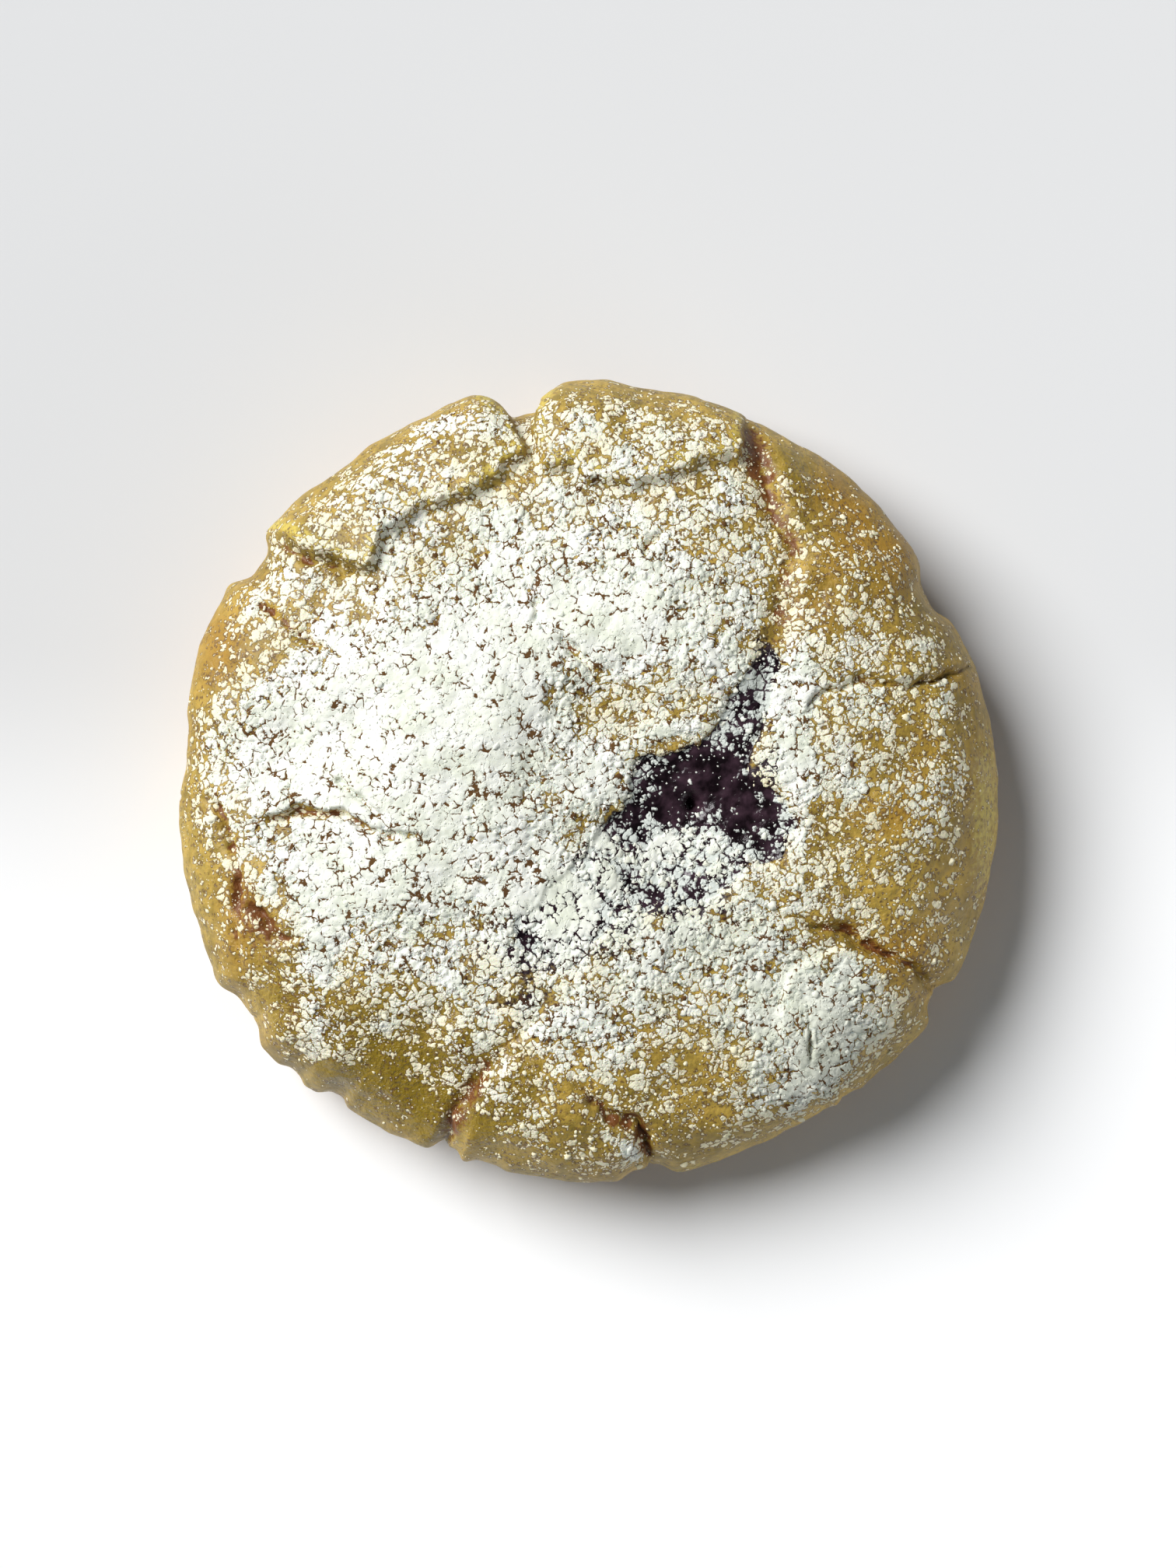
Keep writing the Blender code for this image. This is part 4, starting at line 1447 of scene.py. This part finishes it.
        # The crumb colour goes on broken plate edges and, as painted light, on the rims listed in pale.
        crumb_and_light_amount = self.break_crumb * np.clip(at_break, 0.0, 1.0) + sum_patches(self.pale, x, y)
        carry(mesh, "crumb_and_light", above_foot * np.clip(crumb_and_light_amount, 0.0, 1.0))
        # Painted shade that darkens the sugar on the right and lower right.
        carry(mesh, "painted_shade", self.cover.painted_shade_at(points))
        carry(mesh, "stain", self.seep.at(x, y, pocket))
        buttered = sum_patches(self.buttered, x, y) + self.butter_drift.at(flat)
        carry(mesh, "butter", smooth(*self.butter_facing, upward) * np.clip(buttered, 0.0, 1.0))
        toasted = sum_patches(self.toasted, x, y) + self.toast_drift.at(flat)
        carry(mesh, "toast", np.clip(toasted + self.foot_toasted * (1.0 - above_foot), 0.0, 1.0))
        lying = self.cover.at(points, upward, self.form) - self.crack_lack * in_crack
        carry(mesh, "cover", np.clip(lying, 0.0, self.most_cover))
        return make_piece("cookie_crust", mesh, BakedCrust().material())


@dataclass
class Filling:
    """The cherry filling that shows in the split top."""

    form: CrustForm
    cover: SugarCover
    rings: int = 60
    top_rings: int = 52
    tucked_under: float = 1.6
    weld: float = 0.01
    pit: Patch = Patch(11.2, -2.4, 0.8, 0.6, 90.0, -0.8)

    def build(self) -> bpy.types.Object:
        """Makes the filling, closed underneath inside the dough.

        Returns:
            The filling's piece.
        """
        pocket = self.form.pocket
        mesh, ring, theta = disc_grid(self.rings)
        ring = np.round(ring * self.rings)
        upper = ring <= self.top_rings
        deeper = np.clip((ring - self.top_rings) / (self.rings - self.top_rings), 0.0, 1.0) * math.pi / 2.0
        share = np.where(upper, ring / self.top_rings, np.cos(deeper))
        reach = share * (pocket.reach(theta) + self.tucked_under)
        x = pocket.middle[0] + reach * np.cos(theta)
        y = pocket.middle[1] + reach * np.sin(theta)
        top = crust_level(self.form, x, y) + pocket.surface(x, y) + self.pit.weight(x, y)
        deep = self.form.height - pocket.depth
        points = np.column_stack([x, y, np.where(upper, top, top + (deep - top) * np.sin(deeper))])
        place(mesh, points)
        carry(mesh, "cover", self.cover.at(points, np.ones(len(points)), self.form))
        bmesh.ops.remove_doubles(mesh, verts=mesh.verts, dist=self.weld * MM)
        bmesh.ops.recalc_face_normals(mesh, faces=mesh.faces)
        if mesh.calc_volume(signed=True) < 0.0:
            bmesh.ops.reverse_faces(mesh, faces=mesh.faces)
        return make_piece("cherry_gel", mesh, CherryGel().material())


def crust_level(form: CrustForm, x: Array, y: Array) -> Array:
    """The level of the crust's upper face.

    Args:
        form: The crust's form.
        x: The points' x in mm.
        y: The points' y in mm.

    Returns:
        The level in mm for each point.
    """
    rise = form.rise(form.share_out(x, y))
    level = form.widest_level + (form.height - form.widest_level) * rise
    return level + form.relief(np.column_stack([x, y, level]))[0]


@dataclass
class SugarSheet:
    """Sugar that has caked into a sheet of low lumps, open where it thins out."""

    name: str
    form: CrustForm
    cover: SugarCover
    seep: CherrySeep = field(default_factory=CherrySeep)
    starts: float = 0.6
    fills: float = 1.0
    lump_mm: float = 0.9
    cluster_mm: float = 2.4
    lump_share: float = 0.45
    lump_span: Span = (0.0, 0.35)
    dome_share: float = 0.25
    cluster_share: float = 0.3
    cluster_span: Span = (0.0, 0.3)
    uneven: Uneven = Uneven(0.8, 0.30, 5.5)
    packing: float = 1.15
    most_cover: float = 1.05
    thickness: float = 0.21
    least_high: float = 0.4
    seed: int = 11
    rings: int = 250
    edge_share: float = 0.93
    pocket_edge: float = 0.6
    rise: float = 0.22
    sunk: float = 0.15
    crack_lack: float = 0.7
    closer: float = 0.03

    def build(self, material: bpy.types.Material) -> bpy.types.Object:
        """Makes the sheet.

        Args:
            material: The sugar's finish.

        Returns:
            The sheet's piece.
        """
        mesh, ring, theta = disc_grid(self.rings)
        points, normal, in_crack, _ = self.form.surface(ring * self.edge_share, theta)
        pocket = self.form.pocket
        from_pocket = pocket.distance(points[:, 0], points[:, 1])
        in_pocket = smooth(self.pocket_edge, -self.pocket_edge, from_pocket)
        points[:, 2] += in_pocket * pocket.surface(points[:, 0], points[:, 1])
        near, gap = lumps(points, self.lump_mm, self.seed)
        _, far_gap = lumps(points, self.cluster_mm, self.seed + 1)
        body = self.lump_share * smooth(*self.lump_span, gap) + self.dome_share * (1.0 - near)
        body += self.cluster_share * smooth(*self.cluster_span, far_gap) + self.uneven.at(points)
        order = np.argsort(np.argsort(body)) / len(body)
        film = self.cover.at(points, normal[:, 2], self.form) - self.crack_lack * in_crack
        margin = order - (1.0 - self.packing * smooth(self.starts, self.fills, film))
        domed = self.least_high + (1.0 - self.least_high) * body
        high = self.thickness * smooth(0.0, self.rise, margin) * domed
        points += normal * np.where(margin > 0.0, high, -self.sunk)[:, None]
        place(mesh, points)
        carry(mesh, "cover", np.clip(film + self.closer, 0.0, self.most_cover))
        carry(mesh, "stain", self.seep.at(points[:, 0], points[:, 1], pocket))
        # Painted shade that darkens the sheet on the right and lower right.
        carry(mesh, "painted_shade", self.cover.painted_shade_at(points))
        bare = [face for face in mesh.faces if all(margin[vertex.index] <= 0.0 for vertex in face.verts)]
        bmesh.ops.delete(mesh, geom=bare, context="FACES")
        mesh.normal_update()
        if sum(face.normal.z for face in mesh.faces) < 0.0:
            bmesh.ops.reverse_faces(mesh, faces=mesh.faces)
        return make_piece(self.name, mesh, material)


class Landing:
    """Where something that falls straight down onto the cookie comes to rest, from a height in metres."""

    above: float = 0.1

    def __init__(self, pieces: list[bpy.types.Object]) -> None:
        """Reads the pieces that things can land on."""
        graph = bpy.context.evaluated_depsgraph_get()
        self.trees = [BVHTree.FromObject(piece, graph) for piece in pieces]

    def drop(self, x: float, y: float) -> tuple | None:
        """Drops something at a place.

        Args:
            x: The place's x in metres.
            y: The place's y in metres.

        Returns:
            The highest point under the place and the direction it faces, or None.
        """
        found = None
        for tree in self.trees:
            spot, normal, _, _ = tree.ray_cast((x, y, self.above), (0.0, 0.0, -1.0))
            if spot is not None and (found is None or spot.z > found[0].z):
                found = (spot, normal)
        return found


class GrainShape(Enum):
    """How round a scattered grain is made."""

    LUMPY = "lumpy"
    PLAIN = "plain"
    SPECK = "speck"


@dataclass
class SugarGrains:
    """Loose sugar of one size, sifted over the cookie."""

    name: str
    shape: GrainShape
    form: CrustForm
    cover: SugarCover
    small: float
    large: float
    count: int
    seed: int
    least: float = 0.02
    margin: float = 2.0
    tries_each: int = 4
    most_cover: float = 1.1
    most_lying: float = 1.2
    drift_sizes: tuple[float, ...] = (3.4, 1.5)
    drift_place: float = 0.3
    drift_share: float = 0.8
    cover_share: float = 0.9
    settled: Span = (0.2, 0.7)
    caked: Span = (0.75, 1.05)
    beyond: float = 0.5
    wet_share: float = 0.35
    reach_share: float = 0.995
    top_rise: float = 14.0
    steepest: float = 0.4
    size_bias: Span = (1.6, 2.6)
    stretch: Span = (0.65, 1.5)
    squat: float = 0.45
    rough: float = 0.4
    lift_share: float = 0.05

    def base(self) -> tuple[Array, Array]:
        """Makes the shape that all the grains start from.

        Returns:
            Its points, about 1 from its middle, and its faces.
        """
        mesh = bmesh.new()
        if self.shape is GrainShape.SPECK:
            bmesh.ops.create_uvsphere(mesh, u_segments=4, v_segments=2, radius=1.0)
        else:
            rounds = 2 if self.shape is GrainShape.LUMPY else 1
            bmesh.ops.create_icosphere(mesh, subdivisions=rounds, radius=1.0)
        bmesh.ops.triangulate(mesh, faces=mesh.faces)
        points = np.array([vertex.co[:] for vertex in mesh.verts])
        faces = np.array([[vertex.index for vertex in face.verts] for face in mesh.faces])
        mesh.free()
        return points, faces

    def spots(self, landing: Landing) -> tuple[Array, Array]:
        """Where the grains come to rest.

        Args:
            landing: What they fall onto.

        Returns:
            Their resting places in mm and the directions that the ground faces there.
        """
        draw = np.random.default_rng(self.seed)
        form = self.form
        side = form.mean_radius + self.margin
        places, facings = [], []
        while len(places) < self.count:
            tries = draw.uniform(-side, side, (self.tries_each * self.count, 2))
            reach = form.share_out(*tries.T)
            inside = reach < self.reach_share
            tries, reach = tries[inside], reach[inside]
            ground = np.column_stack([tries, form.widest_level + self.top_rise * form.rise(reach)])
            cover = np.clip(self.cover.at(ground, np.ones(len(ground)), form), 0.0, self.most_lying)
            drifts = sum(waves(ground, size, self.seed + self.drift_place) for size in self.drift_sizes)
            lying = smooth(*self.settled, self.cover_share * cover + self.drift_share * drifts)
            chance = self.least + (1.0 - self.least) * lying
            chance *= 1.0 - (1.0 - self.beyond) * smooth(*self.caked, cover)
            on_filling = form.pocket.distance(tries[:, 0], tries[:, 1]) < 0.0
            chance = np.where(on_filling, chance * self.wet_share, chance)
            taken = draw.uniform(0.0, 1.0, len(ground)) < chance
            for x, y in tries[taken] * MM:
                hit = landing.drop(x, y)
                if hit is None or hit[1].z < self.steepest:
                    continue
                places.append([hit[0].x / MM, hit[0].y / MM, hit[0].z / MM])
                facings.append(list(hit[1]))
                if len(places) == self.count:
                    break
        return np.array(places), np.array(facings)

    def build(self, landing: Landing, material: bpy.types.Material) -> bpy.types.Object:
        """Makes all the grains as one piece.

        Args:
            landing: What they fall onto.
            material: The sugar's finish.

        Returns:
            The piece.
        """
        shape, faces = self.base()
        places, facings = self.spots(landing)
        draw = np.random.default_rng(self.seed + 1)
        radii = 0.5 * (self.small + (self.large - self.small) * draw.beta(*self.size_bias, self.count))
        turns = draw.normal(size=(self.count, 4))
        turns /= np.linalg.norm(turns, axis=1)[:, None]
        w, i, j, k = turns.T
        matrices = np.stack([
            np.stack([1 - 2 * (j * j + k * k), 2 * (i * j - k * w), 2 * (i * k + j * w)], axis=1),
            np.stack([2 * (i * j + k * w), 1 - 2 * (i * i + k * k), 2 * (j * k - i * w)], axis=1),
            np.stack([2 * (i * k - j * w), 2 * (j * k + i * w), 1 - 2 * (i * i + j * j)], axis=1),
        ], axis=1)
        uneven = draw.uniform(1.0 - self.rough, 1.0 + self.rough, (self.count, len(shape), 1))
        stretch = draw.uniform(*self.stretch, (self.count, 1, 3))
        grains = np.einsum("nij,npj->npi", matrices, shape[None] * uneven * stretch) * radii[:, None, None]
        grains[:, :, 2] *= self.squat
        lifted = places + facings * (self.lift_share * radii)[:, None]
        points = (grains + lifted[:, None, :]).reshape(-1, 3) * MM
        corners = (faces[None] + (np.arange(self.count) * len(shape))[:, None, None]).reshape(-1, 3)
        data = bpy.data.meshes.new("grains")
        data.from_pydata(points, [], corners)
        mesh = bmesh.new()
        mesh.from_mesh(data)
        bpy.data.meshes.remove(data)
        cover = self.cover.at(places, np.ones(self.count), self.form)
        cover = np.where(self.form.pocket.distance(places[:, 0], places[:, 1]) < 0.0, 1.0, cover)
        carry(mesh, "cover", np.repeat(np.clip(cover, 0.0, self.most_cover), len(shape)))
        # Painted shade that darkens the grains on the right and lower right.
        carry(mesh, "painted_shade", np.repeat(self.cover.painted_shade_at(places), len(shape)))
        return make_piece(self.name, mesh, material)


@dataclass
class Studio:
    """A pale floor, soft light from the upper left and a camera that looks straight down."""

    photo_height_mm: float = 175.0
    lens_mm: float = 85.0
    sensor_mm: float = 36.0
    scale_level: float = 8.0
    nearest_mm: float = 10.0
    floor_mm: float = 12000.0
    light_from: tuple[float, float, float] = (-450.0, 313.0, 510.0)
    light_spread: float = 38.0
    light_strength: float = 4.24
    card_from: tuple[float, float, float] = (350.0, -200.0, 110.0)
    card_size: float = 200.0
    card_watts: float = 0.28
    fill: float = 0.088
    fill_colour: tuple[float, float, float, float] = (0.72, 0.86, 1.0, 1.0)
    # Painted shade: the floor is grey at the top of the picture and fades to white at the bottom.
    floor_shade_grey: str = "#E3E3E3"
    floor_white: str = "#FFFFFF"
    fade_from: float = 18.0
    fade_to: float = -18.0

    def build(self) -> None:
        """Sets up the floor, lights and camera."""
        self.floor()
        self.lights()
        self.camera()
        bpy.context.scene.view_settings.view_transform = "Standard"

    def floor(self) -> None:
        """A wide, smooth, matte floor, painted grey towards the top of the picture as painted shade
        and white towards the bottom.
        """
        mesh = bmesh.new()
        bmesh.ops.create_grid(mesh, x_segments=1, y_segments=1, size=self.floor_mm * MM / 2.0)
        data = bpy.data.meshes.new("studio_floor")
        mesh.to_mesh(data)
        mesh.free()
        finish = Finish("pale_card")
        along = add_node(finish.tree, "ShaderNodeSeparateXYZ", {}, {0: finish.place_on}).outputs["Y"]
        span = (self.fade_from * MM, self.fade_to * MM)
        share = finish.ramp(along, span, curve="SMOOTHSTEP")
        colour = finish.blend(share, self.floor_shade_grey, self.floor_white)
        data.materials.append(finish.done({"Base Color": colour}, {"Roughness": 0.9}))
        floor = bpy.data.objects.new("studio_floor", data)
        bpy.context.scene.collection.objects.link(floor)

    def lights(self) -> None:
        """A large soft key light at the upper left, a weak card at the lower right and an even fill."""
        key = bpy.data.lights.new("key", "SUN")
        key.angle = math.radians(self.light_spread)
        key.energy = self.light_strength
        card = bpy.data.lights.new("card", "AREA")
        card.size = self.card_size * MM
        card.energy = self.card_watts
        for light, spot in ((key, self.light_from), (card, self.card_from)):
            holder = bpy.data.objects.new(light.name, light)
            holder.location = [part * MM for part in spot]
            holder.rotation_mode = "QUATERNION"
            holder.rotation_quaternion = holder.location.to_track_quat("Z", "Y")
            bpy.context.scene.collection.objects.link(holder)
        world = bpy.data.worlds.new("studio")
        world.use_nodes = True
        background = world.node_tree.nodes["Background"]
        background.inputs["Color"].default_value = self.fill_colour
        background.inputs["Strength"].default_value = self.fill
        bpy.context.scene.world = world

    def camera(self) -> None:
        """A camera straight above the cookie, framed as in the photograph."""
        camera = bpy.data.cameras.new("camera")
        camera.lens = self.lens_mm
        camera.sensor_width = self.sensor_mm
        away = self.photo_height_mm * self.lens_mm / self.sensor_mm
        camera.clip_start = self.nearest_mm * MM
        holder = bpy.data.objects.new("camera", camera)
        holder.location = (0.0, 0.0, (self.scale_level + away) * MM)
        bpy.context.scene.collection.objects.link(holder)
        bpy.context.scene.camera = holder


def main() -> None:
    """Builds the cookie's looks and the studio, and reports each piece."""
    logging.basicConfig(level=logging.INFO, format="%(name)s: %(message)s")
    form = CrustForm()
    cover = SugarCover()
    dough = Dough(form, cover).build()
    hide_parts("cookie_dough")
    filling = Filling(form, cover).build()
    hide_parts("cherry_filling")
    sugar = SiftedSugar().material("loose_powdered_sugar", caked=False)
    caked = SiftedSugar().material("caked_powdered_sugar", caked=True)
    blanket = SugarSheet("sugar_blanket", form, cover).build(caked)
    landing = Landing([dough, filling, blanket])
    clumps = SugarGrains(
        "sugar_clumps", GrainShape.LUMPY, form, cover, small=0.45, large=0.8, count=260, seed=31, beyond=0.3
    )
    grains = SugarGrains(
        "sugar_grains", GrainShape.PLAIN, form, cover, small=0.22, large=0.42, count=3500, seed=41, beyond=0.2
    )
    dust = SugarGrains(
        "sugar_dust", GrainShape.SPECK, form, cover, small=0.12, large=0.24, count=14000, seed=51, least=0.1
    )
    for loose in (clumps, grains, dust):
        loose.build(landing, sugar)
    Studio().build()


if __name__ == "__main__":
    main()
